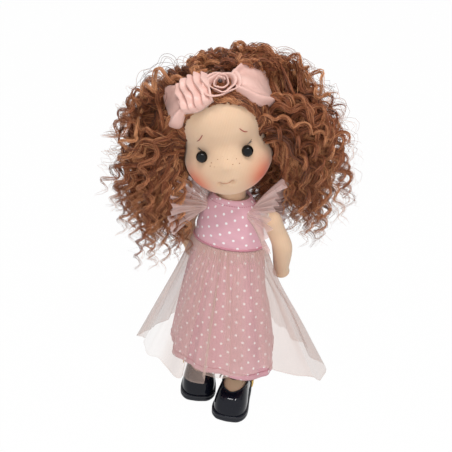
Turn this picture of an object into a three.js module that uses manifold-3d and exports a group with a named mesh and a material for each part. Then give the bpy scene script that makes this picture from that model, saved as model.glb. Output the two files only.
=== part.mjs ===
// A soft jointed doll in a tulle dress, in millimetres.
// It stands on z = 0 and faces -Y, so its own left side is +X.
import * as THREE from "three";
import { mergeVertices } from "three/addons/utils/BufferGeometryUtils.js";
import Module from "manifold-3d";

const wasm = await Module();
wasm.setup();

// Clearances shared by all pieces
const fit = 0.3;
const overrun = 6;
const weld = 0.001;

// Heights of the body above the floor, each standing on the one below it
const hipHeight = 112;
const waistRise = 29;
const chestRise = 15;
const armholeRise = 12;
const necklineRise = 9;
const headPivotRise = 11;
const waistHeight = hipHeight + waistRise;
const chestHeight = waistHeight + chestRise;
const armholeHeight = chestHeight + armholeRise;
const necklineHeight = armholeHeight + necklineRise;
const headPivotHeight = necklineHeight + headPivotRise;

// Body under the dress, measured on the outside of the bodice
const waistHalfWidth = 27.4;
const waistHalfDepth = 18.2;
const chestHalfWidth = 25.4;
const chestHalfDepth = 17.6;
const armholeHalfWidth = 21.6;
const armholeHalfDepth = 14.6;
const bodiceCloth = 1.2;
const seatHalfWidth = 25.5;
const seatHalfDepth = 16.6;
const seatRise = 18;
const seamHalfWidth = 22;
const seamHalfDepth = 1.2;
const bodySides = 24;
const hoopSteps = 28;

// Neck and head
const neckRadius = 9.6;
const neckBall = 10.4;
const headHeight = 87;
const headHalfWidth = 32.6;
const headFront = 32.5;
const headBack = 38;
const chinAbovePivot = -1.5;
const headTurn = THREE.MathUtils.degToRad(18);
const headTilt = THREE.MathUtils.degToRad(13);
const headNod = THREE.MathUtils.degToRad(2);
const headSides = 26;
const bandSteps = 36;
const satinRoomSteps = 40;
const eyeRadius = 4.1;
const eyeSpacing = 32;
const eyeAbovePivot = 35;
const earHeight = 13;
const earWidth = 8;
const earDepth = 5;
const earAbovePivot = 25;

// Arms, bent back at the elbow
const shoulderDrop = 3;
const shoulderHeight = armholeHeight - shoulderDrop;
const shoulderHalfSpan = 29.4;
const upperArm = 33;
const foreArm = 26;
const handLength = 12;
const armRadius = 7.2;
const elbowRadius = 7.6;
const wristRadius = 6;
const handRadius = 6.8;
const armSplay = THREE.MathUtils.degToRad(18);
const armBack = THREE.MathUtils.degToRad(16);
const foreArmBack = THREE.MathUtils.degToRad(24);
const armSides = 12;
const threadRadius = 0.7;
const threadChannel = 1.3;
const buttonRadius = 4;
const buttonThickness = 1.6;

// Legs, and the shoes that they stand in
const hipHalfSpan = 13.4;
const ankleHalfSpan = 18;
const ankleHeight = 27;
const kneeHeight = 68;
const thighRadius = 9.8;
const kneeRadius = 8.6;
const calfRadius = 8.9;
const ankleRadius = 7.8;
const thighWedge = 20;
const leftStep = 7.6;
const rightStep = -4.8;
const leftToeAngle = THREE.MathUtils.degToRad(8);
const rightToeAngle = THREE.MathUtils.degToRad(18);
const legSides = 14;

const soleLength = 54;
const soleHalfWidth = 14.4;
const soleThickness = 5;
const soleBevel = 0.8;
const weltWidth = 1.2;
const heelBehindAnkle = 21;
const shoeHeight = 22;
const shoeWall = 1.1;
const throatHalfWidth = 9.4;
const throatHalfLength = 14.6;
const throatForward = 0.6;
const strapWidth = 4.6;
const strapThickness = 1;
const buckleHalfHeight = 3.5;
const buckleHalfWidth = 2.8;
const buckleWireRadius = 0.5;
const strapClearance = 1.3;

// Dress
const liningThickness = 0.8;
const tulleThickness = 0.6;
const liningHemHeight = 45;
const tulleHemHeight = 37;
const liningReach = 44;
const tulleFlare = 38;
const liningFoldDepth = 1.6;
const liningFoldCount = 9;
const tulleFoldDepth = 4.2;
const tulleFoldCount = 15;
const layerClearance = 2.6;
const handHollowDepth = 5;
const handTurn = THREE.MathUtils.degToRad(122);
const pipingRadius = 0.6;
const bindingRadius = 1.1;
const necklineHalfWidth = 14;
const necklineHalfDepth = 11.8;
const ruffleReach = 23;
const rufflePleatDepth = 2.6;
const rufflePleatCount = 9;
const ruffleThickness = 0.7;
const ruffleDrop = 25;
const ruffleSeamReach = 6.5;
const ruffleSeamHalfDepth = 10.5;
const placketHalfWidth = 4;
const placketThickness = 0.8;
const snapRadius = 2.1;
const snapThickness = 1;
const snapCount = 3;

// Hair and headband
const hairCapThickness = 8;
const hairLumpHeight = 2.2;
const faceOpeningHalfWidth = 31;
const faceOpeningHeight = 76;
const faceOpeningBackShare = 0.1;
const lockRadius = 6;
const lockWaveRadius = 5;
const lockWaveLength = 24;
const elasticWidth = 7;
const elasticThickness = 0.8;
const satinThickness = 1;
const satinHalfWidth = 11.5;
const satinPuffHeight = 5;
const beadRadius = 1.6;
const bandSeat = 1.2;
const bandRise = 10;
const bandLean = THREE.MathUtils.degToRad(42);
const bandSkew = THREE.MathUtils.degToRad(7.8);
const hairReach = 100;
const lockArchShare = 0.12;
const lockTaperShare = 0.6;
const lockSteps = 7;

const colours = {
  skin: 0xe6bc95,
  dress: 0xd69fac,
  tulle: 0xd9c6c0,
  satin: 0xe8bfb3,
  elastic: 0xf0e6d6,
  hair: 0x7d4a2f,
  eye: 0x15110f,
  shoe: 0x141824,
  gold: 0xc9a050,
  thread: 0xefe9dd,
  bead: 0x3a2420,
};

const finish = (colour, roughness, metalness = 0) =>
  new THREE.MeshStandardMaterial({ color: colour, roughness, metalness });

// A value read off a table of [place, value] rows along a smooth curve.
function follow(rows, place) {
  const last = rows.length - 1;
  const at = THREE.MathUtils.clamp(place, rows[0][0], rows[last][0]);
  let i = 0;
  while (i < last - 1 && at > rows[i + 1][0]) i += 1;
  const slope = (k) => {
    const from = rows[Math.max(k - 1, 0)];
    const to = rows[Math.min(k + 1, last)];
    return (to[1] - from[1]) / (to[0] - from[0]);
  };
  const span = rows[i + 1][0] - rows[i][0];
  const s = (at - rows[i][0]) / span;
  const rise = s * s * (3 - 2 * s);
  const easeIn = s * (1 - s) * (1 - s) * span * slope(i);
  const easeOut = s * s * (s - 1) * span * slope(i + 1);
  return rows[i][1] + (rows[i + 1][1] - rows[i][1]) * rise + easeIn + easeOut;
}

// A value read off evenly spaced shares round a full turn.
function around(shares, angle) {
  const count = shares.length;
  const place = THREE.MathUtils.euclideanModulo(angle / (2 * Math.PI), 1) * count;
  const i = Math.floor(place);
  const s = place - i;
  const [a, b, c, d] = [-1, 0, 1, 2].map((k) => shares[(i + k + count) % count]);
  return b + 0.5 * s * (c - a + s * (2 * a - 5 * b + 4 * c - d + s * (3 * (b - c) + d - a)));
}

function geometryOf(points, faces) {
  const geometry = new THREE.BufferGeometry().setFromPoints(points);
  let volume = 0;
  for (let i = 0; i < faces.length; i += 3) {
    const [a, b, c] = [points[faces[i]], points[faces[i + 1]], points[faces[i + 2]]];
    volume += a.dot(b.clone().cross(c));
  }
  if (volume < 0) faces.reverse();
  geometry.setIndex(faces);
  return geometry;
}

// A closed skin over rings of points, with a fan over each end ring. A thin bowed end ring is
// laced across instead, because its middle lies outside it.
function loft(rings, laced = false) {
  const sides = rings[0].length;
  const points = rings.flat();
  const faces = [];
  for (let i = 0; i + 1 < rings.length; i += 1) {
    for (let j = 0; j < sides; j += 1) {
      const a = i * sides + j;
      const b = i * sides + ((j + 1) % sides);
      faces.push(a, b, b + sides, a, b + sides, a + sides);
    }
  }
  const top = (rings.length - 1) * sides;
  [0, top].forEach((base) => {
    const face = (a, b, c) => faces.push(...(base === 0 ? [a, c, b] : [a, b, c]));
    if (laced) {
      for (let j = 0; j < sides / 2; j += 1) {
        const [a, b] = [base + j, base + j + 1];
        const [c, d] = [base + sides - j - 1, base + ((sides - j) % sides)];
        if (b !== c) face(a, b, c);
        if (a !== d) face(a, c, d);
      }
      return;
    }
    const centre = new THREE.Vector3();
    points.slice(base, base + sides).forEach((p) => centre.addScaledVector(p, 1 / sides));
    const hub = points.push(centre) - 1;
    for (let j = 0; j < sides; j += 1) face(hub, base + j, base + ((j + 1) % sides));
  });
  return geometryOf(points, faces);
}

// A closed skin over loops that follow each other round a ring. The second half of a loop runs
// back, so it is split the other way, and the two faces of a thin wall keep to each other.
function ringLoft(loops) {
  const sides = loops[0].length;
  const points = loops.flat();
  const faces = [];
  for (let i = 0; i < loops.length; i += 1) {
    const next = ((i + 1) % loops.length) * sides;
    for (let j = 0; j < sides; j += 1) {
      const k = (j + 1) % sides;
      const here = i * sides;
      if (j < sides / 2) faces.push(here + j, here + k, next + k, here + j, next + k, next + j);
      else faces.push(here + j, here + k, next + j, here + k, next + k, next + j);
    }
  }
  return geometryOf(points, faces);
}

function solid(geometry) {
  const bare = geometry.clone();
  bare.deleteAttribute("normal");
  bare.deleteAttribute("uv");
  const merged = mergeVertices(bare, weld);
  const mesh = new wasm.Mesh({
    numProp: 3,
    vertProperties: merged.attributes.position.array,
    triVerts: new Uint32Array(merged.index.array),
  });
  return new wasm.Manifold(mesh);
}

function geometryFrom(manifold) {
  const mesh = manifold.getMesh();
  const geometry = new THREE.BufferGeometry();
  geometry.setAttribute("position", new THREE.BufferAttribute(mesh.vertProperties, 3));
  geometry.setIndex(new THREE.BufferAttribute(mesh.triVerts, 1));
  return geometry;
}

const largest = (manifold) =>
  manifold.decompose().reduce((best, part) => (part.volume() > best.volume() ? part : best));

const moved = (geometry, matrix) => geometry.clone().applyMatrix4(matrix);

function ball(radius, centre = new THREE.Vector3(), stretch = new THREE.Vector3(1, 1, 1), detail = 12) {
  const geometry = new THREE.SphereGeometry(radius, detail, detail / 2);
  geometry.scale(stretch.x, stretch.y, stretch.z);
  geometry.translate(centre.x, centre.y, centre.z);
  return geometry;
}

function rod(radius, length, sides = 12) {
  return new THREE.CylinderGeometry(radius, radius, length, sides);
}

function block(low, high) {
  const size = high.clone().sub(low);
  const middle = high.clone().add(low).multiplyScalar(0.5);
  return new THREE.BoxGeometry(size.x, size.y, size.z).translate(middle.x, middle.y, middle.z);
}

// A level ellipse, with its own half depth in front and behind.
function ellipse(sides, height, halfWidth, front, back = front, x = 0, y = 0) {
  return Array.from({ length: sides }, (_, j) => {
    const angle = (2 * Math.PI * j) / sides;
    const depth = Math.sin(angle) < 0 ? front : back;
    return new THREE.Vector3(x + halfWidth * Math.cos(angle), y + depth * Math.sin(angle), height);
  });
}

// A round limb along a path, whose radius follows its rows and whose ends are domes.
function limb(path, radiusAt, steps, sides, across = new THREE.Vector3(1, 0, 0)) {
  const rings = [];
  for (let i = 0; i <= steps; i += 1) {
    const t = (1 - Math.cos((Math.PI * i) / steps)) / 2;
    const centre = path.getPointAt(t);
    const along = path.getTangentAt(t);
    const side = across.clone().addScaledVector(along, -across.dot(along)).normalize();
    const out = along.clone().cross(side);
    const radius = radiusAt(t);
    rings.push(
      Array.from({ length: sides }, (_, j) => {
        const angle = (2 * Math.PI * j) / sides;
        return centre
          .clone()
          .addScaledVector(side, radius * Math.cos(angle))
          .addScaledVector(out, radius * Math.sin(angle));
      }),
    );
  }
  return loft(rings);
}

const dome = (t, share) => Math.sqrt(Math.max(1 - Math.max(1 - t / share, 0) ** 2, 0.02));

// Torso and bodice share one form, which the bodice takes at its full size
const bodyRows = [
  [waistHeight, waistHalfWidth, waistHalfDepth],
  [(waistHeight + chestHeight) / 2, (waistHalfWidth + chestHalfWidth) / 2, waistHalfDepth],
  [chestHeight, chestHalfWidth, chestHalfDepth],
  [
    (chestHeight + armholeHeight) / 2,
    (chestHalfWidth + armholeHalfWidth) / 2,
    (chestHalfDepth + armholeHalfDepth) / 2,
  ],
  [armholeHeight, armholeHalfWidth, armholeHalfDepth],
  [(armholeHeight + necklineHeight) / 2, 0.88 * armholeHalfWidth, 0.88 * armholeHalfDepth],
  [necklineHeight, necklineHalfWidth + bindingRadius, necklineHalfDepth + bindingRadius],
];

function bodyForm(inset, low, high) {
  const ring = ([height, halfWidth, halfDepth], shift) =>
    ellipse(bodySides, height + shift, halfWidth - inset, halfDepth - inset);
  const rings = bodyRows.map((row, i) => ring(row, i > 4 ? -inset : 0));
  if (low) rings.unshift(ring(bodyRows[0], low));
  if (high) rings.push(ring(bodyRows[bodyRows.length - 1], high));
  return loft(rings);
}

const seatRows = [
  [0, seamHalfWidth, seamHalfDepth],
  [0.2 * seatRise, 0.98 * seamHalfWidth + 0.02 * seatHalfWidth, 0.24 * seatHalfDepth],
  [0.5 * seatRise, (seamHalfWidth + seatHalfWidth) / 2, 0.54 * seatHalfDepth],
  [0.8 * seatRise, 0.98 * seatHalfWidth, 0.84 * seatHalfDepth],
  [1.2 * seatRise, seatHalfWidth, seatHalfDepth],
];

const torsoInset = bodiceCloth + fit;
const seamRound = 0.85 * seamHalfDepth;

function makeTorso() {
  const seat = seatRows.map(([rise, halfWidth, halfDepth]) =>
    ellipse(bodySides, hipHeight + seamRound + fit + rise, halfWidth, halfDepth),
  );
  const trunk = bodyRows.map(([height, halfWidth, halfDepth], i) =>
    ellipse(bodySides, height - (i > 4 ? torsoInset : 0), halfWidth - torsoInset, halfDepth - torsoInset),
  );
  const channel = rod(threadChannel, 2 * shoulderHalfSpan).rotateZ(Math.PI / 2);
  channel.translate(0, 0, shoulderHeight);
  return geometryFrom(solid(loft([...seat, ...trunk])).subtract(solid(channel)));
}

function makeBodice() {
  const outer = solid(bodyForm(0, 0, 0));
  const inner = solid(bodyForm(bodiceCloth, -overrun, 0));
  const neckHole = solid(
    loft([-overrun, overrun].map((rise) =>
      ellipse(bodySides, necklineHeight + rise, necklineHalfWidth, necklineHalfDepth),
    )),
  );
  const armholes = [-1, 1].map((side) => {
    const hole = rod(0.62 * armRadius, 2 * overrun).rotateZ(Math.PI / 2);
    return solid(hole.translate(side * armholeHalfWidth, 0, shoulderHeight));
  });
  const shell = outer.subtract(inner).subtract(neckHole);
  return geometryFrom(largest(armholes.reduce((rest, hole) => rest.subtract(hole), shell)));
}

// A round cord laid along a level ellipse.
function hoop(height, halfWidth, halfDepth, radius, flat = 1) {
  const sides = 6;
  return ringLoft(
    Array.from({ length: hoopSteps }, (_, i) => {
      const angle = (2 * Math.PI * i) / hoopSteps;
      return Array.from({ length: sides }, (__, j) => {
        const turn = (2 * Math.PI * j) / sides;
        const reach = radius * Math.cos(turn);
        return new THREE.Vector3(
          (halfWidth + reach) * Math.cos(angle),
          (halfDepth + reach) * Math.sin(angle),
          height + radius * flat * Math.sin(turn),
        );
      });
    }),
  );
}

// Skirts: angle 0 is the front, and a quarter turn is the doll's left side
const liningReachShares = [0.93, 0.98, 1.02, 0.97, 0.92, 0.88, 0.88, 0.88, 0.87, 0.87, 0.88, 0.92];
const tulleFlareShares = [0.08, 0.06, 0.11, 1, 0.53, 0.47, 0.47, 0.47, 0.4, 0.47, 0.53, 0.24];

function waistRadius(angle, grow) {
  const a = waistHalfWidth + grow;
  const b = waistHalfDepth + grow;
  return (a * b) / Math.hypot(b * Math.sin(angle), a * Math.cos(angle));
}

// The hands rest behind the hips and press the skirts in there
function besideHand(angle, t) {
  const turn = Math.abs(THREE.MathUtils.euclideanModulo(angle + Math.PI, 2 * Math.PI) - Math.PI);
  return Math.exp(-(((turn - handTurn) / 0.5) ** 2) - ((t - 0.3) / 0.2) ** 2);
}

function liningRadius(angle, t) {
  const hem = liningReach * around(liningReachShares, angle);
  const fold = liningFoldDepth * t * (1 + Math.cos(liningFoldCount * angle));
  const top = waistRadius(angle, 0);
  return top + (hem - top) * t ** 0.85 + fold - handHollowDepth * besideHand(angle, t);
}

function tulleRadius(angle, t) {
  const flare = tulleFlare * around(tulleFlareShares, angle) * t ** 1.5;
  const fold = tulleFoldDepth * t ** 0.8 * (1 + Math.cos(tulleFoldCount * angle + Math.sin(3 * angle)));
  return liningRadius(angle, t) + fit + tulleThickness + layerClearance * t + flare + fold / 2;
}

function skirt(radiusAt, thickness, hemHeight, columns, levels) {
  const top = waistHeight - fit - pipingRadius;
  return ringLoft(
    Array.from({ length: columns }, (_, i) => {
      const angle = (2 * Math.PI * i) / columns;
      const edge = (t, inset) => {
        const radius = radiusAt(angle, t) - inset;
        const height = THREE.MathUtils.lerp(top, hemHeight, t);
        return new THREE.Vector3(radius * Math.sin(angle), -radius * Math.cos(angle), height);
      };
      const steps = Array.from({ length: levels + 1 }, (__, k) => k / levels);
      return [...steps.map((t) => edge(t, 0)), ...steps.reverse().map((t) => edge(t, thickness))];
    }),
  );
}

// A pleated sheet from an inner edge to an outer edge, as a closed skin.
function pleatedSheet(pointAt, columns, rows, thickness) {
  const grid = (shift) =>
    Array.from({ length: columns + 1 }, (_, i) =>
      Array.from({ length: rows + 1 }, (__, j) => {
        const point = pointAt(i / columns, j / rows);
        return point.addScaledVector(thickness, shift);
      }),
    ).flat();
  const points = [...grid(0), ...grid(1)];
  const under = (columns + 1) * (rows + 1);
  const at = (i, j) => i * (rows + 1) + j;
  const faces = [];
  for (let i = 0; i < columns; i += 1) {
    for (let j = 0; j < rows; j += 1) {
      const [a, b, c, d] = [at(i, j), at(i + 1, j), at(i + 1, j + 1), at(i, j + 1)];
      faces.push(a, b, c, a, c, d);
      faces.push(under + a, under + c, under + b, under + a, under + d, under + c);
    }
  }
  const rim = (a, b) => faces.push(b, a, under + a, b, under + a, under + b);
  for (let i = 0; i < columns; i += 1) {
    rim(at(i, 0), at(i + 1, 0));
    rim(at(i + 1, rows), at(i, rows));
  }
  for (let j = 0; j < rows; j += 1) {
    rim(at(0, j + 1), at(0, j));
    rim(at(columns, j), at(columns, j + 1));
  }
  return geometryOf(points, faces);
}

// The bodice's half width and half depth at a height
function bodyAt(height) {
  const above = Math.max(bodyRows.findIndex(([level]) => level >= height), 1);
  const [low, high] = [bodyRows[above - 1], bodyRows[above]];
  const share = (height - low[0]) / (high[0] - low[0]);
  return [1, 2].map((k) => THREE.MathUtils.lerp(low[k], high[k], share));
}

// The line round the armhole where the ruffle is sewn, just clear of the bodice
function armholeSeam(side, angle) {
  const height = armholeHeight - 0.2 * ruffleSeamReach + ruffleSeamReach * Math.cos(angle);
  const depth = ruffleSeamHalfDepth * Math.sin(angle);
  const [halfWidth, halfDepth] = bodyAt(height);
  const width = halfWidth * Math.sqrt(1 - (depth / halfDepth) ** 2);
  return new THREE.Vector3(side * (width + fit), depth * (1 + fit / halfDepth), height);
}

// The shoulder ruffle is gathered along the armhole and fans out over the arm
function makeRuffle(side) {
  const gather = armholeHalfWidth + bodiceCloth + fit;
  const pointAt = (u, v) => {
    const angle = (u - 0.5) * 1.3 * Math.PI;
    const down = 1 - Math.cos(angle);
    const out = v * ruffleReach;
    const pleat = rufflePleatDepth * v * Math.sin(2 * Math.PI * rufflePleatCount * u);
    const lift = Math.cos(angle);
    const height = armholeHeight + 0.5 * armRadius + ruffleDrop * (0.3 - 0.5 * down);
    const spread = new THREE.Vector3(
      side * (gather * (1 - 0.1 * lift + 0.06 * down) + out * (0.55 + 0.25 * (1 - lift))),
      (armholeHalfDepth * 0.95 + out * 0.62) * Math.sin(angle) + pleat * lift,
      height + out * 0.72 * lift + pleat * 0.4,
    );
    return armholeSeam(side, angle).lerp(spread, v * (2 - v));
  };
  return pleatedSheet(pointAt, 4 * rufflePleatCount, 2, new THREE.Vector3(side * ruffleThickness, 0, 0));
}

// The arm runs from its round shoulder to the elbow, back along the forearm and into the hand
function armPath(side) {
  const shoulder = new THREE.Vector3(side * shoulderHalfSpan, 0, shoulderHeight + 0.6 * armRadius);
  const reach = (from, length, back) =>
    from.clone().add(
      new THREE.Vector3(
        side * length * Math.sin(armSplay) * (back > armBack ? -0.2 : 1),
        length * Math.sin(back),
        -length * Math.cos(back) * Math.cos(armSplay),
      ),
    );
  const elbow = reach(shoulder, upperArm, armBack);
  const wrist = reach(elbow, foreArm, foreArmBack);
  const hand = reach(wrist, handLength, foreArmBack);
  return new THREE.CatmullRomCurve3([shoulder, shoulder.clone().lerp(elbow, 0.5), elbow, wrist, hand]);
}

function makeArm(side) {
  const rows = [
    [0, armRadius],
    [0.14, armRadius],
    [0.28, 0.94 * armRadius],
    [0.46, elbowRadius],
    [0.78, wristRadius],
    [0.92, handRadius],
    [1, handRadius],
  ];
  const radiusAt = (t) => follow(rows, t) * dome(t, 0.12) * dome(1 - t, 0.1);
  const arm = solid(limb(armPath(side), radiusAt, 14, armSides));
  const channel = rod(threadChannel, armRadius + overrun).rotateZ(Math.PI / 2);
  const pocket = rod(buttonRadius + fit, buttonThickness + 2 * fit, 16).rotateZ(Math.PI / 2);
  channel.translate(side * (shoulderHalfSpan - (armRadius + overrun) / 2), 0, shoulderHeight);
  pocket.translate(side * shoulderHalfSpan, 0, shoulderHeight);
  return geometryFrom(arm.subtract(solid(channel)).subtract(solid(pocket)));
}

function makeThread() {
  const length = 2 * (shoulderHalfSpan - buttonThickness / 2 - fit);
  return rod(threadRadius, length).rotateZ(Math.PI / 2).translate(0, 0, shoulderHeight);
}

// Shoe plan and height along its length, from the heel at 0 to the toe at 1
const shoeWidthShares = [
  [0, 0.3],
  [0.04, 0.56],
  [0.12, 0.74],
  [0.24, 0.82],
  [0.38, 0.86],
  [0.52, 0.92],
  [0.66, 0.99],
  [0.78, 1],
  [0.87, 0.92],
  [0.94, 0.74],
  [0.985, 0.46],
  [1, 0.24],
];
const shoeHeightShares = [
  [0, 0.5],
  [0.04, 0.74],
  [0.12, 0.88],
  [0.24, 0.96],
  [0.38, 1],
  [0.52, 0.94],
  [0.66, 0.8],
  [0.78, 0.7],
  [0.87, 0.62],
  [0.94, 0.5],
  [0.985, 0.36],
  [1, 0.22],
];
const shoeStations = 12;

function shoeSection(station, inset) {
  const t = (1 - Math.cos((Math.PI * station) / shoeStations)) / 2;
  const length = soleLength - 2 * (weltWidth + inset);
  return {
    y: heelBehindAnkle - weltWidth - inset - t * length,
    halfWidth: (soleHalfWidth - weltWidth) * follow(shoeWidthShares, t) - inset,
    height: shoeHeight * follow(shoeHeightShares, t) - inset,
  };
}

// The closed form of a foot in its shoe, from the top of the sole, open below by the given drop.
function shoeForm(inset, drop) {
  const arch = 8;
  const base = soleThickness + fit;
  const rings = Array.from({ length: shoeStations + 1 }, (_, station) => {
    const { y, halfWidth, height } = shoeSection(station, inset);
    const ring = Array.from({ length: arch + 1 }, (__, j) => {
      const angle = (Math.PI * j) / arch;
      const x = Math.sign(Math.cos(angle)) * Math.abs(Math.cos(angle)) ** 0.62 * halfWidth;
      return new THREE.Vector3(j === arch / 2 ? 0 : x, y, base + Math.sin(angle) ** 0.8 * height);
    });
    ring[0].z = base - drop;
    ring[arch].z = base - drop;
    return ring;
  });
  return loft(rings);
}

function makeSole() {
  const outline = (inset, height) => {
    const right = [];
    const left = [];
    for (let station = 0; station <= shoeStations; station += 1) {
      const { y, halfWidth } = shoeSection(station, inset - weltWidth);
      right.push(new THREE.Vector3(-halfWidth, y, height));
      left.unshift(new THREE.Vector3(halfWidth, y, height));
    }
    return [...left, ...right];
  };
  const rings = [
    outline(soleBevel, 0),
    outline(0, soleBevel),
    outline(0, soleThickness - soleBevel),
    outline(soleBevel / 2, soleThickness),
  ];
  return loft(rings);
}

function makeUpper() {
  const outer = solid(shoeForm(0, 0));
  const inner = solid(shoeForm(shoeWall, overrun));
  const throat = solid(
    loft([0, 2 * shoeHeight].map((rise) =>
      ellipse(
        bodySides,
        soleThickness + rise,
        throatHalfWidth,
        throatHalfLength,
        throatHalfLength,
        0,
        -throatForward,
      ),
    )),
  );
  return geometryFrom(largest(outer.subtract(inner).subtract(throat)));
}

// The strap crosses the instep in front of the ankle, between the two quarters

function strapCurve(out) {
  const front = -(ankleRadius + strapClearance + out);
  const quarter = soleHalfWidth * 0.86 + out;
  const low = soleThickness + 0.62 * shoeHeight;
  const top = soleThickness + shoeHeight + 1.4 * strapClearance + out;
  return new THREE.CatmullRomCurve3([
    new THREE.Vector3(-quarter, 0.2 * front, low),
    new THREE.Vector3(-0.93 * quarter, 0.45 * front, 0.6 * low + 0.4 * top),
    new THREE.Vector3(-0.66 * quarter, 0.86 * front, 0.2 * low + 0.8 * top),
    new THREE.Vector3(0, 1.12 * front, top),
    new THREE.Vector3(0.66 * quarter, 0.86 * front, 0.2 * low + 0.8 * top),
    new THREE.Vector3(0.93 * quarter, 0.45 * front, 0.6 * low + 0.4 * top),
    new THREE.Vector3(quarter, 0.2 * front, low),
  ]);
}

function makeStrap() {
  const inner = strapCurve(0);
  const outer = strapCurve(strapThickness);
  const steps = 20;
  const half = strapWidth / 2;
  const rings = Array.from({ length: steps + 1 }, (_, i) => {
    const [a, b] = [inner, outer].map((curve) => curve.getPoint(i / steps));
    const along = new THREE.Vector3(0, -1, 0.35).normalize();
    return [
      a.clone().addScaledVector(along, half),
      b.clone().addScaledVector(along, 0.9 * half),
      b.clone().addScaledVector(along, -0.9 * half),
      a.clone().addScaledVector(along, -half),
    ];
  });
  return loft(rings);
}

const buckleSeat = () => strapCurve(strapThickness + fit + buckleWireRadius).getPoint(0.93);

function makeBuckle(side) {
  const seat = buckleSeat();
  const wireSides = 5;
  const geometry = ringLoft(
    Array.from({ length: 16 }, (_, i) => {
      const angle = (2 * Math.PI * i) / 16;
      const bend = (value) => Math.sign(value) * Math.abs(value) ** 0.7;
      return Array.from({ length: wireSides }, (__, j) => {
        const turn = (2 * Math.PI * j) / wireSides;
        const reach = buckleWireRadius * Math.cos(turn);
        return new THREE.Vector3(
          buckleWireRadius * Math.sin(turn),
          (buckleHalfWidth + reach) * bend(Math.cos(angle)),
          (buckleHalfHeight + reach) * bend(Math.sin(angle)),
        );
      });
    }),
  );
  return geometry.translate(side * seat.x, seat.y, seat.z);
}

function makeProng(side) {
  const seat = buckleSeat();
  const length = 2 * (buckleHalfHeight - buckleWireRadius - fit);
  return rod(0.8 * buckleWireRadius, length, 8).rotateX(Math.PI / 2).translate(side * seat.x, seat.y, seat.z);
}

// A leg starts as a flat seam at the hip, fills out, and ends as the foot inside the shoe
function makeLeg(side, step, shoeMatrix) {
  const legRows = [
    [hipHeight + seamRound, 0.98 * thighRadius, 0.45 * seamHalfDepth],
    [hipHeight, 0.98 * thighRadius, seamHalfDepth],
    [hipHeight - 0.35 * thighWedge, thighRadius, 0.45 * thighRadius],
    [hipHeight - 0.7 * thighWedge, 1.02 * thighRadius, 0.78 * thighRadius],
    [hipHeight - 1.2 * thighWedge, thighRadius, 0.98 * thighRadius],
    [(hipHeight + kneeHeight) / 2 - thighWedge / 4, 0.95 * thighRadius, 0.95 * thighRadius],
    [kneeHeight, kneeRadius, kneeRadius],
    [(kneeHeight + ankleHeight) / 2, calfRadius, calfRadius],
    [ankleHeight, ankleRadius, ankleRadius],
    [soleThickness + shoeHeight / 2, ankleRadius, ankleRadius],
  ];
  const rings = legRows.map(([height, halfWidth, halfDepth]) => {
    const share = THREE.MathUtils.clamp((hipHeight - height) / (hipHeight - ankleHeight), 0, 1);
    const x = side * THREE.MathUtils.lerp(hipHalfSpan, ankleHalfSpan, share);
    return ellipse(legSides, height, halfWidth, halfDepth, halfDepth, x, -step * share);
  });
  const foot = solid(moved(shoeForm(shoeWall + fit, 0), shoeMatrix));
  return geometryFrom(solid(loft(rings)).add(foot));
}

// Head form, with shares of its half width and depth by height: full cheeks, and a dip at the eye line
const headWidthShares = [
  [0, 0.22],
  [0.03, 0.52],
  [0.1, 0.78],
  [0.2, 0.95],
  [0.3, 0.99],
  [0.4, 0.92],
  [0.48, 0.88],
  [0.58, 0.94],
  [0.72, 1],
  [0.84, 0.91],
  [0.93, 0.7],
  [0.985, 0.36],
  [1, 0.16],
];
const headFrontShares = [
  [0, 0.34],
  [0.03, 0.68],
  [0.1, 0.88],
  [0.2, 0.99],
  [0.32, 1.02],
  [0.42, 0.95],
  [0.5, 0.92],
  [0.62, 0.99],
  [0.74, 0.98],
  [0.85, 0.84],
  [0.93, 0.62],
  [0.985, 0.32],
  [1, 0.14],
];
const headBackShares = [
  [0, 0.2],
  [0.03, 0.36],
  [0.1, 0.5],
  [0.2, 0.62],
  [0.35, 0.78],
  [0.5, 0.9],
  [0.65, 0.99],
  [0.75, 1],
  [0.86, 0.86],
  [0.94, 0.62],
  [0.985, 0.34],
  [1, 0.16],
];
const headLevels = 13;

// A point of the head's surface: angle 0 faces forward and a quarter turn is the doll's left ear.
function headPoint(angle, share, grow = 0) {
  const front = Math.cos(angle) > 0;
  const frontDepth = headFront * follow(headFrontShares, share);
  const depth = front ? frontDepth : headBack * follow(headBackShares, share);
  const point = new THREE.Vector3(
    headHalfWidth * follow(headWidthShares, share) * Math.sin(angle),
    -depth * Math.cos(angle),
    chinAbovePivot + headHeight * share,
  );
  return point.add(point.clone().sub(headMiddle).normalize().multiplyScalar(grow));
}

function headForm(grow, bump = () => 0, sides = headSides, levels = headLevels) {
  return loft(
    Array.from({ length: levels + 1 }, (_, i) => {
      const share = (1 - Math.cos((Math.PI * i) / levels)) / 2;
      return Array.from({ length: sides }, (__, j) => {
        const angle = (2 * Math.PI * j) / sides;
        return headPoint(angle, share, grow + bump(angle, share));
      });
    }),
  );
}

const eyeShare = (eyeAbovePivot - chinAbovePivot) / headHeight;
const eyeLineHalfWidth = headHalfWidth * follow(headWidthShares, eyeShare);
const eyeAngle = (side) => side * Math.asin(eyeSpacing / 2 / eyeLineHalfWidth);
const earShare = (earAbovePivot - chinAbovePivot) / headHeight;

function makeHead() {
  const socket = solid(ball(neckBall + 2 * fit, undefined, undefined, 16));
  let head = solid(headForm(0)).subtract(socket);
  [-1, 1].forEach((side) => {
    const seat = headPoint(eyeAngle(side), eyeShare, 0.25 * eyeRadius);
    head = head.subtract(solid(ball(eyeRadius + fit, seat)));
  });
  return geometryFrom(head);
}

function makeEye(side) {
  return ball(eyeRadius, headPoint(eyeAngle(side), eyeShare, 0.25 * eyeRadius));
}

const earPlace = (side) => headPoint(side * 0.53 * Math.PI, earShare, 0.5 * earDepth);

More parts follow.
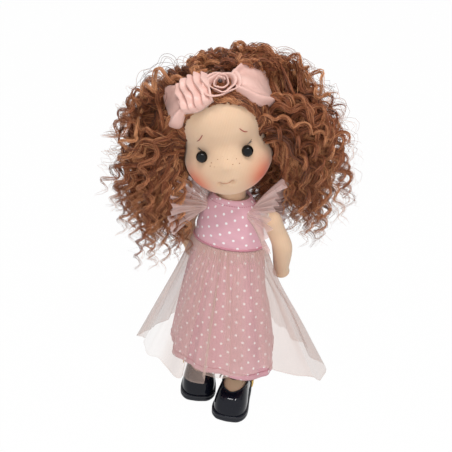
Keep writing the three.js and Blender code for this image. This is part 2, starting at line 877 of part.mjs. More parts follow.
function makeEar(side) {
  const shape = new THREE.Vector3(earDepth / earHeight, earWidth / earHeight, 1);
  const ear = solid(ball(earHeight / 2, earPlace(side), shape));
  return geometryFrom(largest(ear.subtract(solid(headForm(fit)))));
}

const earHollow = (side) => {
  const shape = new THREE.Vector3(earDepth / earHeight, earWidth / earHeight, 1);
  return solid(ball(earHeight / 2 + 3 * fit, earPlace(side), shape.multiplyScalar(1.1)));
};

function makeNeck() {
  const column = loft([
    ellipse(24, necklineHeight - torsoInset + fit - headPivotHeight, neckRadius, neckRadius),
    ellipse(24, -0.3 * neckBall, 0.96 * neckRadius, 0.96 * neckRadius),
  ]);
  return geometryFrom(solid(column).add(solid(ball(neckBall, undefined, undefined, 16))));
}

const headMiddle = new THREE.Vector3(0, 0, chinAbovePivot + 0.52 * headHeight);

function insideHead(point) {
  const share = (point.z - chinAbovePivot) / headHeight;
  if (share < 0 || share > 1) return false;
  const front = headFront * follow(headFrontShares, share);
  const depth = point.y < 0 ? front : headBack * follow(headBackShares, share);
  return Math.hypot(point.x / (headHalfWidth * follow(headWidthShares, share)), point.y / depth) < 1;
}

// The band lies in one plane, from the top of the brow to the nape. Its turn is 0 in front.
const bandPlane = new THREE.Matrix4()
  .makeTranslation(headMiddle)
  .multiply(new THREE.Matrix4().makeRotationX(Math.PI / 2 + bandLean))
  .multiply(new THREE.Matrix4().makeRotationY(bandSkew))
  .multiply(new THREE.Matrix4().makeTranslation(0, 0, -bandRise));

function bandPoint(turn, across, grow) {
  const at = (reach) =>
    new THREE.Vector3(reach * Math.sin(turn), reach * Math.cos(turn), -across).applyMatrix4(bandPlane);
  let [low, high] = [0, 2 * headBack];
  for (let i = 0; i < 24; i += 1) {
    const reach = (low + high) / 2;
    if (insideHead(at(reach))) low = reach;
    else high = reach;
  }
  const point = at(low);
  return point.add(point.clone().sub(headMiddle).normalize().multiplyScalar(grow));
}

function elasticForm(inner, outer, width) {
  return ringLoft(
    Array.from({ length: bandSteps }, (_, i) => {
      const turn = (2 * Math.PI * i) / bandSteps;
      return [
        bandPoint(turn, -width / 2, inner),
        bandPoint(turn, width / 2, inner),
        bandPoint(turn, width / 2, outer),
        bandPoint(turn, -width / 2, outer),
      ];
    }),
  );
}

// A satin shape laid over the elastic, from one turn to another, with its half widths along the way.
function satinPatch(fromDegrees, toDegrees, halfWidthShares, puffShare, ripples = 0) {
  const columns = 8 + 4 * ripples;
  const lift = bandSeat + elasticThickness + 2 * fit;
  const rings = Array.from({ length: columns + 1 }, (_, i) => {
    const u = i / columns;
    const turn = THREE.MathUtils.degToRad(THREE.MathUtils.lerp(fromDegrees, toDegrees, u));
    const half = satinHalfWidth * follow(halfWidthShares, u);
    const ripple = 0.22 * Math.sin(2 * Math.PI * ripples * u);
    const rise = satinPuffHeight * (puffShare * Math.sin(Math.PI * u) ** 0.5 + ripple);
    return Array.from({ length: 8 }, (__, j) => {
      const angle = (2 * Math.PI * j) / 8;
      const crown = Math.max(Math.sin(angle), 0);
      const grow = lift + (satinThickness * (Math.sin(angle) + 1)) / 2 + crown * rise;
      return bandPoint(turn, half * Math.cos(angle), grow);
    });
  });
  return loft(rings, true);
}

const satinPieces = {
  headband_right_petal: [-64, -31.5, [[0, 0.2], [0.25, 0.8], [0.6, 1], [1, 0.7]], 0.8],
  headband_pleats: [-30, -4, [[0, 0.9], [0.5, 1.1], [1, 0.9]], 1, 3],
  headband_rosette: [-2.5, 19.5, [[0, 0.7], [0.5, 1.15], [1, 0.7]], 1.3],
  headband_left_petal: [21, 70, [[0, 0.55], [0.35, 1.1], [0.7, 0.9], [1, 0.16]], 1],
};

// Group positions, so that shapes given in the doll's frame can be turned into a group's own frame
const doll = new THREE.Group();
const neckGroup = new THREE.Group();
neckGroup.position.set(0, 0, headPivotHeight);
neckGroup.rotation.z = headTurn;
const headGroup = new THREE.Group();
headGroup.rotation.set(headNod, -headTilt, 0, "YXZ");
neckGroup.add(headGroup);
doll.add(neckGroup);
doll.updateMatrixWorld(true);

// Hair: a lumpy cap on the skull, and masses of wavy locks that hang from it.
// The masses are set out in the neck's frame, because they turn with it and hang straight down.
const toHead = headGroup.matrixWorld.clone().invert();
const hangToHead = headGroup.matrix.clone().invert();
const hang = (shares) => new THREE.Vector3(...shares).multiplyScalar(hairReach).applyMatrix4(hangToHead);

const lump = (angle, share) =>
  hairLumpHeight *
  (Math.sin(7 * angle + 9 * share) + Math.sin(5 * angle - 13 * share)) *
  Math.sin(Math.PI * share);

// The face stays open from the chin to the hairline, a rounded arch cut from the front
const faceOpening = loft(
  [-3 * headFront, -faceOpeningBackShare * headFront].map((y) =>
    Array.from({ length: 28 }, (_, j) => {
      const angle = (2 * Math.PI * j) / 28;
      const bend = (value) => Math.sign(value) * Math.abs(value) ** 0.62;
      const x = faceOpeningHalfWidth * bend(Math.cos(angle));
      return new THREE.Vector3(x, y, chinAbovePivot + faceOpeningHeight * bend(Math.sin(angle)));
    }),
  ),
);

function lockCurve(start, end, phase) {
  const along = end.clone().sub(start);
  const length = along.length();
  const side = new THREE.Vector3(-along.z, 0, along.x).normalize();
  const out = along.clone().cross(side).normalize();
  const count = Math.max(6, Math.round((3 * length) / lockWaveLength));
  return new THREE.CatmullRomCurve3(
    Array.from({ length: count + 1 }, (_, i) => {
      const t = i / count;
      const turn = phase + (2 * Math.PI * t * length) / lockWaveLength;
      return start
        .clone()
        .addScaledVector(along, t)
        .addScaledVector(side, lockWaveRadius * Math.cos(turn))
        .addScaledVector(out, lockWaveRadius * Math.sin(turn))
        .add(new THREE.Vector3(0, 0, lockArchShare * length * Math.sin(Math.PI * t)));
    }),
  );
}

function lock(start, end, phase) {
  const radiusAt = (t) => lockRadius * dome(t, 0.15) * (1 - lockTaperShare * t) * dome(1 - t, 0.05);
  return limb(lockCurve(start, end, phase), radiusAt, lockSteps, 5, new THREE.Vector3(0, 1, 0));
}

// Blobs of a mass as [x, y, z, half width, half depth, half height], and its locks as start and end
function hairMass(blobShares, fan) {
  const blobs = blobShares.map(([x, y, z, halfWidth, halfDepth, halfHeight]) => {
    const blob = ball(hairReach, undefined, new THREE.Vector3(halfWidth, halfDepth, halfHeight), 12);
    return solid(blob.translate(x * hairReach, y * hairReach, z * hairReach).applyMatrix4(hangToHead));
  });
  const locks = fan.map(([start, end], i) => solid(lock(hang(start), hang(end), 2.4 * i)));
  return [...blobs, ...locks].reduce((whole, part) => whole.add(part));
}

function place(parent, name, geometry, material) {
  const mesh = new THREE.Mesh(geometry, material);
  mesh.name = name;
  parent.add(mesh);
  return mesh;
}

const skin = () => finish(colours.skin, 0.85);
const dressCloth = () => finish(colours.dress, 0.85);
const tulleCloth = () => finish(colours.tulle, 0.8);
const satinCloth = () => finish(colours.satin, 0.4);
const hairFibre = () => finish(colours.hair, 0.6);

// Body and dress
place(doll, "torso", makeTorso(), skin());
place(doll, "dress_bodice", makeBodice(), dressCloth());
place(
  doll,
  "neckline_binding",
  hoop(necklineHeight + fit + bindingRadius, necklineHalfWidth, necklineHalfDepth, bindingRadius),
  dressCloth(),
);
const pipingGap = fit + pipingRadius;
place(
  doll,
  "waist_piping",
  hoop(waistHeight + pipingRadius, waistHalfWidth + pipingGap, waistHalfDepth + pipingGap, pipingRadius),
  dressCloth(),
);
place(doll, "lining_skirt", skirt(liningRadius, liningThickness, liningHemHeight, 48, 3), dressCloth());
place(doll, "tulle_skirt", skirt(tulleRadius, tulleThickness, tulleHemHeight, 72, 3), tulleCloth());
place(doll, "shoulder_thread", makeThread(), finish(colours.thread, 0.9));

const placket = solid(bodyForm(-fit - placketThickness, 0, 0))
  .subtract(solid(bodyForm(-fit, -overrun, overrun)))
  .intersect(
    solid(
      block(
        new THREE.Vector3(-placketHalfWidth, 0, waistHeight + 3 * pipingRadius),
        new THREE.Vector3(placketHalfWidth, 2 * waistHalfDepth, armholeHeight),
      ),
    ),
  );
place(doll, "back_placket", geometryFrom(largest(placket)), dressCloth());
for (let i = 0; i < snapCount; i += 1) {
  const height = THREE.MathUtils.lerp(waistHeight, armholeHeight, (i + 1) / (snapCount + 1));
  const bodyDepth = follow(bodyRows.map(([z, , depth]) => [z, depth]), height);
  const snap = rod(snapRadius, snapThickness, 16);
  const clear = fit + placketThickness + fit + snapThickness;
  place(doll, `snap_button_${i + 1}`, snap.translate(0, bodyDepth + clear, height), satinCloth());
}

[
  ["left", 1],
  ["right", -1],
].forEach(([name, side]) => {
  place(doll, `${name}_ruffle`, makeRuffle(side), tulleCloth());
  place(doll, `${name}_arm`, makeArm(side), skin());
  const button = rod(buttonRadius, buttonThickness, 16).rotateZ(Math.PI / 2);
  place(doll, `${name}_shoulder_button`, button, finish(colours.thread, 0.6)).position.set(
    side * shoulderHalfSpan,
    0,
    shoulderHeight,
  );
});

// Legs and shoes
[
  ["left", 1, leftStep, leftToeAngle],
  ["right", -1, rightStep, rightToeAngle],
].forEach(([name, side, step, toeAngle]) => {
  const shoe = new THREE.Group();
  shoe.position.set(side * ankleHalfSpan, -step, 0);
  shoe.rotation.z = toeAngle;
  shoe.updateMatrix();
  doll.add(shoe);
  place(doll, `${name}_leg`, makeLeg(side, step, shoe.matrix), skin());
  place(shoe, `${name}_shoe_sole`, makeSole(), finish(colours.shoe, 0.3));
  place(shoe, `${name}_shoe_upper`, makeUpper(), finish(colours.shoe, 0.15));
  place(shoe, `${name}_shoe_strap`, makeStrap(), finish(colours.shoe, 0.15));
  place(shoe, `${name}_shoe_buckle`, makeBuckle(side), finish(colours.gold, 0.3, 0.9));
  place(shoe, `${name}_shoe_prong`, makeProng(side), finish(colours.gold, 0.3, 0.9));
});

// Neck and head
place(neckGroup, "neck", makeNeck(), skin());
place(headGroup, "head", makeHead(), skin());
[
  ["left", 1],
  ["right", -1],
].forEach(([name, side]) => {
  place(headGroup, `${name}_eye`, makeEye(side), finish(colours.eye, 0.1));
  place(headGroup, `${name}_ear`, makeEar(side), skin());
});
place(
  headGroup,
  "headband_elastic",
  elasticForm(bandSeat, bandSeat + elasticThickness, elasticWidth),
  finish(colours.elastic, 0.9),
);

Object.entries(satinPieces).forEach(([name, [from, to, widths, puff, ripples]]) => {
  place(headGroup, name, satinPatch(from, to, widths, puff, ripples), satinCloth());
});
const rosetteTurn = THREE.MathUtils.degToRad(8.5);
const beadLift = bandSeat + elasticThickness + fit + satinThickness + 1.3 * satinPuffHeight + fit + beadRadius;
const bead = ball(beadRadius, bandPoint(rosetteTurn, 0, beadLift), undefined, 10);
place(headGroup, "rosette_bead", bead, finish(colours.bead, 0.2));

// Hair masses as shares of the hair's reach from the head's pivot, in the doll's frame
const rightBlobShares = [
  [-0.52, 0.06, 0.38, 0.28, 0.3, 0.36],
  [-0.6, 0.06, -0.08, 0.22, 0.24, 0.36],
  [-0.5, 0.1, -0.45, 0.14, 0.16, 0.24],
];
const leftBlobShares = [
  [0.46, 0.06, 0.56, 0.27, 0.3, 0.36],
  [0.56, 0.08, 0.12, 0.2, 0.24, 0.34],
];
const backBlobShares = [
  [-0.3, 0.38, 0.4, 0.3, 0.22, 0.42],
  [0.2, 0.38, 0.48, 0.3, 0.22, 0.42],
  [-0.04, 0.36, 0, 0.42, 0.16, 0.36],
];
const crownBlobShares = [
  [-0.26, 0.1, 0.76, 0.2, 0.24, 0.13],
  [0.14, 0.1, 0.86, 0.24, 0.24, 0.15],
];

// Locks of a mass fan out from its core to its outline, evenly turned about its middle.
function fanOf([x, y, z], depthShare, reachX, reachZ, count, from, to) {
  return Array.from({ length: count }, (_, i) => {
    const angle = THREE.MathUtils.degToRad(THREE.MathUtils.lerp(from, to, i / (count - 1)));
    const depth = depthShare * Math.sin(2.4 * i);
    const point = (share) => [
      x + share * reachX * Math.cos(angle),
      y + share * depth,
      z + share * reachZ * Math.sin(angle) - 0.1 * share * share * Math.abs(Math.cos(angle)),
    ];
    return [point(0.35), point(1)];
  });
}

const skull = solid(headForm(5 * fit, undefined, 20, 12));
const satinRoom = solid(
  ringLoft(
    Array.from({ length: satinRoomSteps }, (_, i) => {
      const turn = (2 * Math.PI * i) / satinRoomSteps;
      const half = satinHalfWidth * 1.25;
      const high = bandSeat + elasticThickness + satinThickness + 2 * satinPuffHeight;
      return [
        bandPoint(turn, -half, 0),
        bandPoint(turn, half, 0),
        bandPoint(turn, half, high),
        bandPoint(turn, 0, high),
        bandPoint(turn, -half, high),
      ];
    }),
  ),
).intersect(solid(block(
  new THREE.Vector3(-2 * headHalfWidth, -2 * headFront, 0),
  new THREE.Vector3(2 * headHalfWidth, 0.5 * headBack, 2 * headHeight),
)));
const band = solid(elasticForm(bandSeat - fit, bandSeat + elasticThickness + fit, elasticWidth + 2 * fit));
const face = solid(faceOpening);
const corner = (x, y, z) => new THREE.Vector3(x, y, z);
const region = (low, high) => solid(block(corner(...low), corner(...high)));
const far = 3 * hairReach;
const partLine = 0.94 * headHalfWidth;
const backLine = 0.7 * headBack;

const cap = solid(headForm(hairCapThickness, lump, 18, 9));
const crownMass = hairMass(crownBlobShares, fanOf([-0.04, 0.06, 0.62], 0.16, 0.5, 0.42, 4, 50, 140));

// The hair lies clear of the shoulders, the ruffles and the arms
const shoulderForm = rod(1, 2, 20)
  .rotateZ(Math.PI / 2)
  .scale(armholeHalfWidth + 1.25 * ruffleReach, 1.28 * ruffleReach, 1.24 * ruffleReach)
  .translate(0, 0, armholeHeight + 0.16 * ruffleReach);
const besideArm = [-1, 1].map((side) =>
  solid(limb(armPath(side), () => elbowRadius + 3 * fit, 10, 12).applyMatrix4(toHead)),
);
const shoulders = solid(shoulderForm.applyMatrix4(toHead));
const hollows = [skull, band, satinRoom, face, shoulders, earHollow(1), earHollow(-1), ...besideArm];
const clearOfBody = (mass) => hollows.reduce((rest, cutter) => rest.subtract(cutter), mass);

const crownBox = region([-partLine, -far, 0], [partLine, backLine, far]);
const leftBox = region([partLine + fit, -far, -far], [far, backLine, far]);
const rightBox = region([-far, -far, -far], [-partLine - fit, backLine, far]);
const backBox = region([-far, backLine + fit, -far], [far, far, far]);

const rightMass = hairMass(rightBlobShares, fanOf([-0.56, 0.06, 0.02], 0.2, 0.35, 0.8, 9, 85, 290));
const leftMass = hairMass(leftBlobShares, fanOf([0.48, 0.08, 0.32], 0.2, 0.36, 0.66, 8, -115, 95));
const backMass = hairMass(backBlobShares, fanOf([-0.06, 0.42, 0.1], 0.1, 0.46, 0.62, 6, 200, 340));

const hairPieces = {
  hair_crown: [crownMass, crownBox],
  hair_left: [leftMass, leftBox],
  hair_right: [rightMass, rightBox],
  hair_back: [backMass, backBox],
};
Object.entries(hairPieces).forEach(([name, [mass, box]]) => {
  place(headGroup, name, geometryFrom(largest(clearOfBody(cap.add(mass).intersect(box)))), hairFibre());
});

// The origin lies on the floor under the middle of the whole doll
const stand = new THREE.Group();
stand.add(doll);
const middle = new THREE.Box3().setFromObject(stand, true).getCenter(new THREE.Vector3());
doll.position.set(-middle.x, -middle.y, 0);

export default stand;
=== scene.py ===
# A soft jointed doll in a tulle dress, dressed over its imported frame.
# Sizes are in millimetres in the doll's frame, which stands on z = 0, faces -Y and has its left side at +X.
import math
import random

import bpy
import numpy as np
from mathutils import Matrix, Vector


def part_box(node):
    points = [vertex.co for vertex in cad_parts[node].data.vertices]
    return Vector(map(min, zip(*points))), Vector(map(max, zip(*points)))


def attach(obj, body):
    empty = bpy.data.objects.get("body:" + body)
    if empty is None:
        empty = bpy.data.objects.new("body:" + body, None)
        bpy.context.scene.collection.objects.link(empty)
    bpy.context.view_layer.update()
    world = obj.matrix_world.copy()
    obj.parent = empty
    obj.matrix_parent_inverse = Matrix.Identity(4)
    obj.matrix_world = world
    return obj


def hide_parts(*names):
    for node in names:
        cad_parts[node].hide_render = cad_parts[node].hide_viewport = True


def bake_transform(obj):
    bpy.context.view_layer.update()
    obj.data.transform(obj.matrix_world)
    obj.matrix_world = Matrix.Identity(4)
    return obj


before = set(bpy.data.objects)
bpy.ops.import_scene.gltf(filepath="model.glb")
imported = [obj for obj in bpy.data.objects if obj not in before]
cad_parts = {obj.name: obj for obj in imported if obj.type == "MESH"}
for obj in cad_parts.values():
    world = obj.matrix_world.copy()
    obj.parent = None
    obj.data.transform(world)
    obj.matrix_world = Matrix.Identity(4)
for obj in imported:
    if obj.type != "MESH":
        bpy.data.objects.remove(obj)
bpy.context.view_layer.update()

MM = 0.001
PIVOT_HEIGHT = 188
HEAD_TURN = math.radians(18)
HEAD_TILT = math.radians(13)
HEAD_NOD = math.radians(2)

neck_low, neck_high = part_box("neck")
AXIS = (Vector(neck_low) + Vector(neck_high)) / 2
DOLL = Matrix.Translation((AXIS.x, AXIS.y, 0)) @ Matrix.Scale(MM, 4)
NECK = DOLL @ Matrix.Translation((0, 0, PIVOT_HEIGHT)) @ Matrix.Rotation(HEAD_TURN, 4, "Z")
HEAD = NECK @ Matrix.Rotation(-HEAD_TILT, 4, "Y") @ Matrix.Rotation(HEAD_NOD, 4, "X")
FULL_TURN = 2 * math.pi


# Camera


def make_camera():
    azimuth, elevation, roll = math.radians(18), math.radians(28), math.radians(4.5)
    distance, target_height, focal_pixels, frame_pixels = 700, 150, 925, 452
    back = Vector(
        (
            math.sin(azimuth) * math.cos(elevation),
            -math.cos(azimuth) * math.cos(elevation),
            math.sin(elevation),
        )
    )
    side = Vector((math.cos(azimuth), math.sin(azimuth), 0))
    rise = back.cross(side)
    right = side * math.cos(roll) + rise * math.sin(roll)
    up = rise * math.cos(roll) - side * math.sin(roll)
    data = bpy.data.cameras.new("camera")
    data.sensor_width = 36
    data.lens = data.sensor_width * focal_pixels / frame_pixels
    data.shift_x = -4 / frame_pixels
    data.shift_y = 1 / frame_pixels
    data.clip_start = 0.01
    camera = bpy.data.objects.new("camera", data)
    bpy.context.scene.collection.objects.link(camera)
    turn = Matrix((right, up, back)).transposed().to_4x4()
    place = DOLL @ (Vector((0, 0, target_height)) + back * distance)
    camera.matrix_world = Matrix.Translation(place) @ turn
    bpy.context.scene.camera = camera


# Tables and meshes


def follow(rows, place):
    """Values read off a table of (place, value) rows along a smooth curve."""
    table = np.array(rows, float)
    x, y = table[:, 0], table[:, 1]
    last = len(x) - 1
    at = np.clip(np.asarray(place, float), x[0], x[-1])
    i = np.clip(np.searchsorted(x, at, side="left") - 1, 0, last - 1)
    low, high = np.maximum(np.arange(last + 1) - 1, 0), np.minimum(np.arange(last + 1) + 1, last)
    slope = (y[high] - y[low]) / (x[high] - x[low])
    span = x[i + 1] - x[i]
    s = (at - x[i]) / span
    rise = s * s * (3 - 2 * s)
    return (
        y[i]
        + (y[i + 1] - y[i]) * rise
        + s * (1 - s) ** 2 * span * slope[i]
        + s * s * (s - 1) * span * slope[i + 1]
    )


def around(shares, angle):
    """Values read off evenly spaced shares round a full turn."""
    table = np.array(shares, float)
    count = len(table)
    place = np.mod(np.asarray(angle, float) / FULL_TURN, 1) * count
    i = np.floor(place).astype(int)
    s = place - i
    a, b, c, d = (table[(i + k) % count] for k in (-1, 0, 1, 2))
    return b + 0.5 * s * (c - a + s * (2 * a - 5 * b + 4 * c - d + s * (3 * (b - c) + d - a)))


def grid_faces(rows, columns, wrap=False):
    """Quads of a grid of points stored row by row; wrap joins the last column to the first."""
    faces = []
    for i in range(rows - 1):
        for j in range(columns if wrap else columns - 1):
            k = (j + 1) % columns
            faces.append((i * columns + j, i * columns + k, (i + 1) * columns + k, (i + 1) * columns + j))
    return faces


def make_piece(name, points, faces, material, matrix=DOLL, uv=None, flip=False):
    """A smooth mesh object from points in a local frame, with an optional UV per point."""
    cloud = np.asarray(points, float).reshape(-1, 3)
    placed = cloud @ np.array(matrix.to_3x3()).T + np.array(matrix.translation)
    if flip:
        faces = [tuple(reversed(face)) for face in faces]
    mesh = bpy.data.meshes.new(name)
    mesh.from_pydata(placed.tolist(), [], faces)
    mesh.validate()
    if uv is not None:
        layer = mesh.uv_layers.new(name="cloth")
        corners = np.zeros(len(mesh.loops), int)
        mesh.loops.foreach_get("vertex_index", corners)
        layer.data.foreach_set("uv", np.asarray(uv, float).reshape(-1, 2)[corners].ravel())
    mesh.shade_smooth()
    mesh.materials.append(material)
    piece = bpy.data.objects.new(name, mesh)
    bpy.context.scene.collection.objects.link(piece)
    return piece


def paint(piece, name, values):
    attribute = piece.data.attributes.new(name, "FLOAT", "POINT")
    attribute.data.foreach_set("value", np.asarray(values, np.float32).ravel())


def apply_modifiers(piece):
    depsgraph = bpy.context.evaluated_depsgraph_get()
    shaped = bpy.data.meshes.new_from_object(piece.evaluated_get(depsgraph))
    piece.modifiers.clear()
    piece.data = shaped


def thicken(piece, thickness, offset=-1.0):
    solidify = piece.modifiers.new("thickness", "SOLIDIFY")
    solidify.thickness = thickness * MM
    solidify.offset = offset


def smooth_path(points, count):
    """A Catmull-Rom curve through the points, at evenly spaced parameters."""
    knots = np.array(points, float)
    knots = np.vstack([2 * knots[0] - knots[1], knots, 2 * knots[-1] - knots[-2]])
    t = np.linspace(0, len(knots) - 3, count)
    i = np.minimum(t.astype(int), len(knots) - 4)
    s = (t - i)[:, None]
    a, b, c, d = (knots[i + k] for k in range(4))
    return b + 0.5 * s * (c - a + s * (2 * a - 5 * b + 4 * c - d + s * (3 * (b - c) + d - a)))


def tube_points(path, radii, sides, across=(1, 0, 0), flat=1.0):
    """Rings of a tube round a path, with a radius for each of its points."""
    path = np.asarray(path, float)
    along = np.gradient(path, axis=0)
    along /= np.linalg.norm(along, axis=1)[:, None]
    side = np.array(across, float)[None] - along * (along @ np.array(across, float))[:, None]
    side /= np.linalg.norm(side, axis=1)[:, None]
    out = np.cross(along, side)
    angle = np.linspace(0, FULL_TURN, sides, endpoint=False)
    radii = np.broadcast_to(np.asarray(radii, float), (len(path),))[:, None, None]
    ring = side[:, None] * np.cos(angle)[None, :, None] + out[:, None] * flat * np.sin(angle)[None, :, None]
    return (path[:, None] + radii * ring).reshape(-1, 3)


def make_tube(name, path, radii, sides, material, matrix=DOLL, closed=False, across=(0, 0, 1)):
    path = np.asarray(path, float)
    if closed:
        ahead, behind = np.roll(path, -1, axis=0), np.roll(path, 1, axis=0)
        along = ahead - behind
        along /= np.linalg.norm(along, axis=1)[:, None]
        side = np.array(across, float)[None] - along * (along @ np.array(across, float))[:, None]
        side /= np.linalg.norm(side, axis=1)[:, None]
        out = np.cross(along, side)
        angle = np.linspace(0, FULL_TURN, sides, endpoint=False)
        reach = np.broadcast_to(np.asarray(radii, float), (len(path),))[:, None, None]
        ring = side[:, None] * np.cos(angle)[None, :, None] + out[:, None] * np.sin(angle)[None, :, None]
        points = (path[:, None] + reach * ring).reshape(-1, 3)
        count = len(path)
        faces = [
            (
                i * sides + j,
                i * sides + (j + 1) % sides,
                (i + 1) % count * sides + (j + 1) % sides,
                (i + 1) % count * sides + j,
            )
            for i in range(count)
            for j in range(sides)
        ]
    else:
        points = tube_points(path, radii, sides, across)
        count = len(path)
        faces = grid_faces(count, sides, wrap=True)
        faces.append(tuple(reversed(range(sides))))
        faces.append(tuple((count - 1) * sides + j for j in range(sides)))
    return make_piece(name, points, faces, material, matrix)


def join(name, pieces):
    """One object from several, with their meshes put together."""
    bpy.ops.object.select_all(action="DESELECT")
    for piece in pieces:
        piece.select_set(True)
    bpy.context.view_layer.objects.active = pieces[0]
    bpy.ops.object.join()
    pieces[0].name = name
    pieces[0].data.name = name
    return pieces[0]


# Materials


def linear(red, green, blue):
    """A scene colour from a screen colour of 0 to 255."""

    def channel(value):
        share = value / 255
        return share / 12.92 if share <= 0.04045 else ((share + 0.055) / 1.055) ** 2.4

    return (channel(red), channel(green), channel(blue), 1)


class Shader:
    """A node material whose nodes are added and linked in one call."""

    def __init__(self, name, **settings):
        self.material = bpy.data.materials.new(name)
        self.material.use_nodes = True
        self.tree = self.material.node_tree
        self.surface = self.tree.nodes["Principled BSDF"]
        self.output = self.tree.nodes["Material Output"]
        for key, value in settings.items():
            self.surface.inputs[key.replace("_", " ")].default_value = value

    def add(self, kind, *inputs, **settings):
        node = self.tree.nodes.new(kind)
        for key, value in settings.items():
            setattr(node, key, value)
        for place, value in enumerate(inputs):
            self.set(node.inputs[place], value)
        return node

    def set(self, socket, value):
        if isinstance(value, bpy.types.NodeSocket):
            self.tree.links.new(value, socket)
        elif value is not None:
            socket.default_value = value

    def colour(self, value):
        self.set(self.surface.inputs["Base Color"], value)

    def math(self, operation, *inputs, clamp=False):
        return self.add("ShaderNodeMath", *inputs, operation=operation, use_clamp=clamp).outputs[0]

    def mix(self, share, first, second, blend="MIX"):
        node = self.tree.nodes.new("ShaderNodeMix")
        node.data_type = "RGBA"
        node.blend_type = blend
        self.set(node.inputs["Factor"], share)
        self.set(node.inputs["A"], first)
        self.set(node.inputs["B"], second)
        return node.outputs["Result"]

    def ramp(self, value, low, high):
        node = self.add("ShaderNodeMapRange", value, interpolation_type="SMOOTHSTEP")
        node.inputs["From Min"].default_value = low
        node.inputs["From Max"].default_value = high
        return node.outputs[0]

    def place(self, kind="Object"):
        return self.add("ShaderNodeTexCoord").outputs[kind]

    def cloth(self):
        return self.add("ShaderNodeUVMap", uv_map="cloth").outputs[0]

    def noise(self, where, scale, detail=2.0, roughness=0.5):
        node = self.tree.nodes.new("ShaderNodeTexNoise")
        self.set(node.inputs["Vector"], where)
        node.inputs["Scale"].default_value = scale
        node.inputs["Detail"].default_value = detail
        node.inputs["Roughness"].default_value = roughness
        return node.outputs["Fac"]

    def wave(self, where, scale, distortion=0.0, direction="X"):
        node = self.tree.nodes.new("ShaderNodeTexWave")
        node.bands_direction = direction
        self.set(node.inputs["Vector"], where)
        node.inputs["Scale"].default_value = scale
        node.inputs["Distortion"].default_value = distortion
        node.inputs["Detail Scale"].default_value = 1.5
        return node.outputs["Fac"]

    def value(self, name):
        return self.add("ShaderNodeAttribute", attribute_name=name).outputs["Fac"]

    def bump(self, height, strength, distance):
        node = self.tree.nodes.new("ShaderNodeBump")
        node.inputs["Strength"].default_value = strength
        node.inputs["Distance"].default_value = distance
        self.set(node.inputs["Height"], height)
        self.set(self.surface.inputs["Normal"], node.outputs[0])


WAVE_PERIOD = FULL_TURN / 20


def skin_material(name, blushed=False, ribbed_by_uv=False):
    shader = Shader(name, Roughness=0.85)
    shader.surface.inputs["Sheen Weight"].default_value = 0.25
    shader.surface.inputs["Sheen Roughness"].default_value = 0.5
    shader.surface.inputs["Subsurface Weight"].default_value = 0.08
    shader.surface.inputs["Subsurface Radius"].default_value = (0.004, 0.002, 0.001)
    where = shader.place()
    mottle = shader.noise(where, 60, 3)
    base = shader.mix(mottle, linear(224, 188, 155), linear(236, 204, 173))
    if ribbed_by_uv:
        rib = shader.wave(shader.cloth(), WAVE_PERIOD / 1.0, 1.2)
    else:
        rib = shader.wave(where, WAVE_PERIOD / (1.0 * MM), 1.2)
    base = shader.mix(shader.math("MULTIPLY", rib, 0.16), base, linear(205, 158, 122))
    if blushed:
        base = shader.mix(shader.value("blush"), base, linear(220, 100, 62))
        # Painted shade: darker in the eye hollows, at the mouth's corners and along its crease.
        base = shader.mix(shader.value("shade"), base, linear(150, 110, 88))
    shader.colour(base)
    fuzz = shader.noise(where, 2600, 2)
    shader.bump(shader.math("ADD", rib, shader.math("MULTIPLY", fuzz, 0.6)), 0.35, 0.0002)
    return shader.material


def dotted_cotton(name, base_colour, spacing=6.95, dot_radius=0.98, turn=65):
    """Printed cotton with a lattice of small white dots, laid out by the cloth's own flat size."""
    shader = Shader(name, Roughness=0.9)
    shader.surface.inputs["Sheen Weight"].default_value = 0.2
    flat = shader.cloth()
    mapping = shader.add("ShaderNodeMapping", flat)
    mapping.inputs["Rotation"].default_value = (0, 0, math.radians(turn))
    mapping.inputs["Scale"].default_value = (1 / spacing, 1 / spacing, 1)
    cell = shader.add("ShaderNodeVectorMath", mapping.outputs[0], operation="FRACTION").outputs[0]
    offset = shader.add("ShaderNodeVectorMath", cell, (0.5, 0.5, 0), operation="SUBTRACT").outputs[0]
    level = shader.add("ShaderNodeVectorMath", offset, (1, 1, 0), operation="MULTIPLY").outputs[0]
    reach = shader.add("ShaderNodeVectorMath", level, operation="LENGTH").outputs["Value"]
    radius = dot_radius / spacing
    dot = shader.ramp(reach, 1.15 * radius, 0.82 * radius)
    weave = shader.math(
        "MULTIPLY", shader.wave(flat, WAVE_PERIOD / 0.5), shader.wave(flat, WAVE_PERIOD / 0.5, 0, "Y")
    )
    mottle = shader.noise(flat, 0.08, 4)
    red, green, blue = base_colour
    cloth = shader.mix(mottle, linear(red - 10, green - 12, blue - 10), linear(red + 6, green + 6, blue + 6))
    cloth = shader.mix(shader.math("MULTIPLY", weave, 0.2), cloth, linear(red - 40, green - 40, blue - 36))
    shader.colour(shader.mix(dot, cloth, linear(250, 244, 244)))
    shader.bump(weave, 0.25, 0.0001)
    return shader.material


def plain_cloth(name, colour, roughness=0.8, sheen=0.3, scale=1800):
    shader = Shader(name, Roughness=roughness)
    shader.surface.inputs["Sheen Weight"].default_value = sheen
    where = shader.place()
    grain = shader.noise(where, scale, 3)
    red, green, blue = colour
    shader.colour(shader.mix(grain, linear(red - 16, green - 16, blue - 14), linear(red + 8, green + 8, blue + 8)))
    shader.bump(grain, 0.4, 0.0002)
    return shader.material


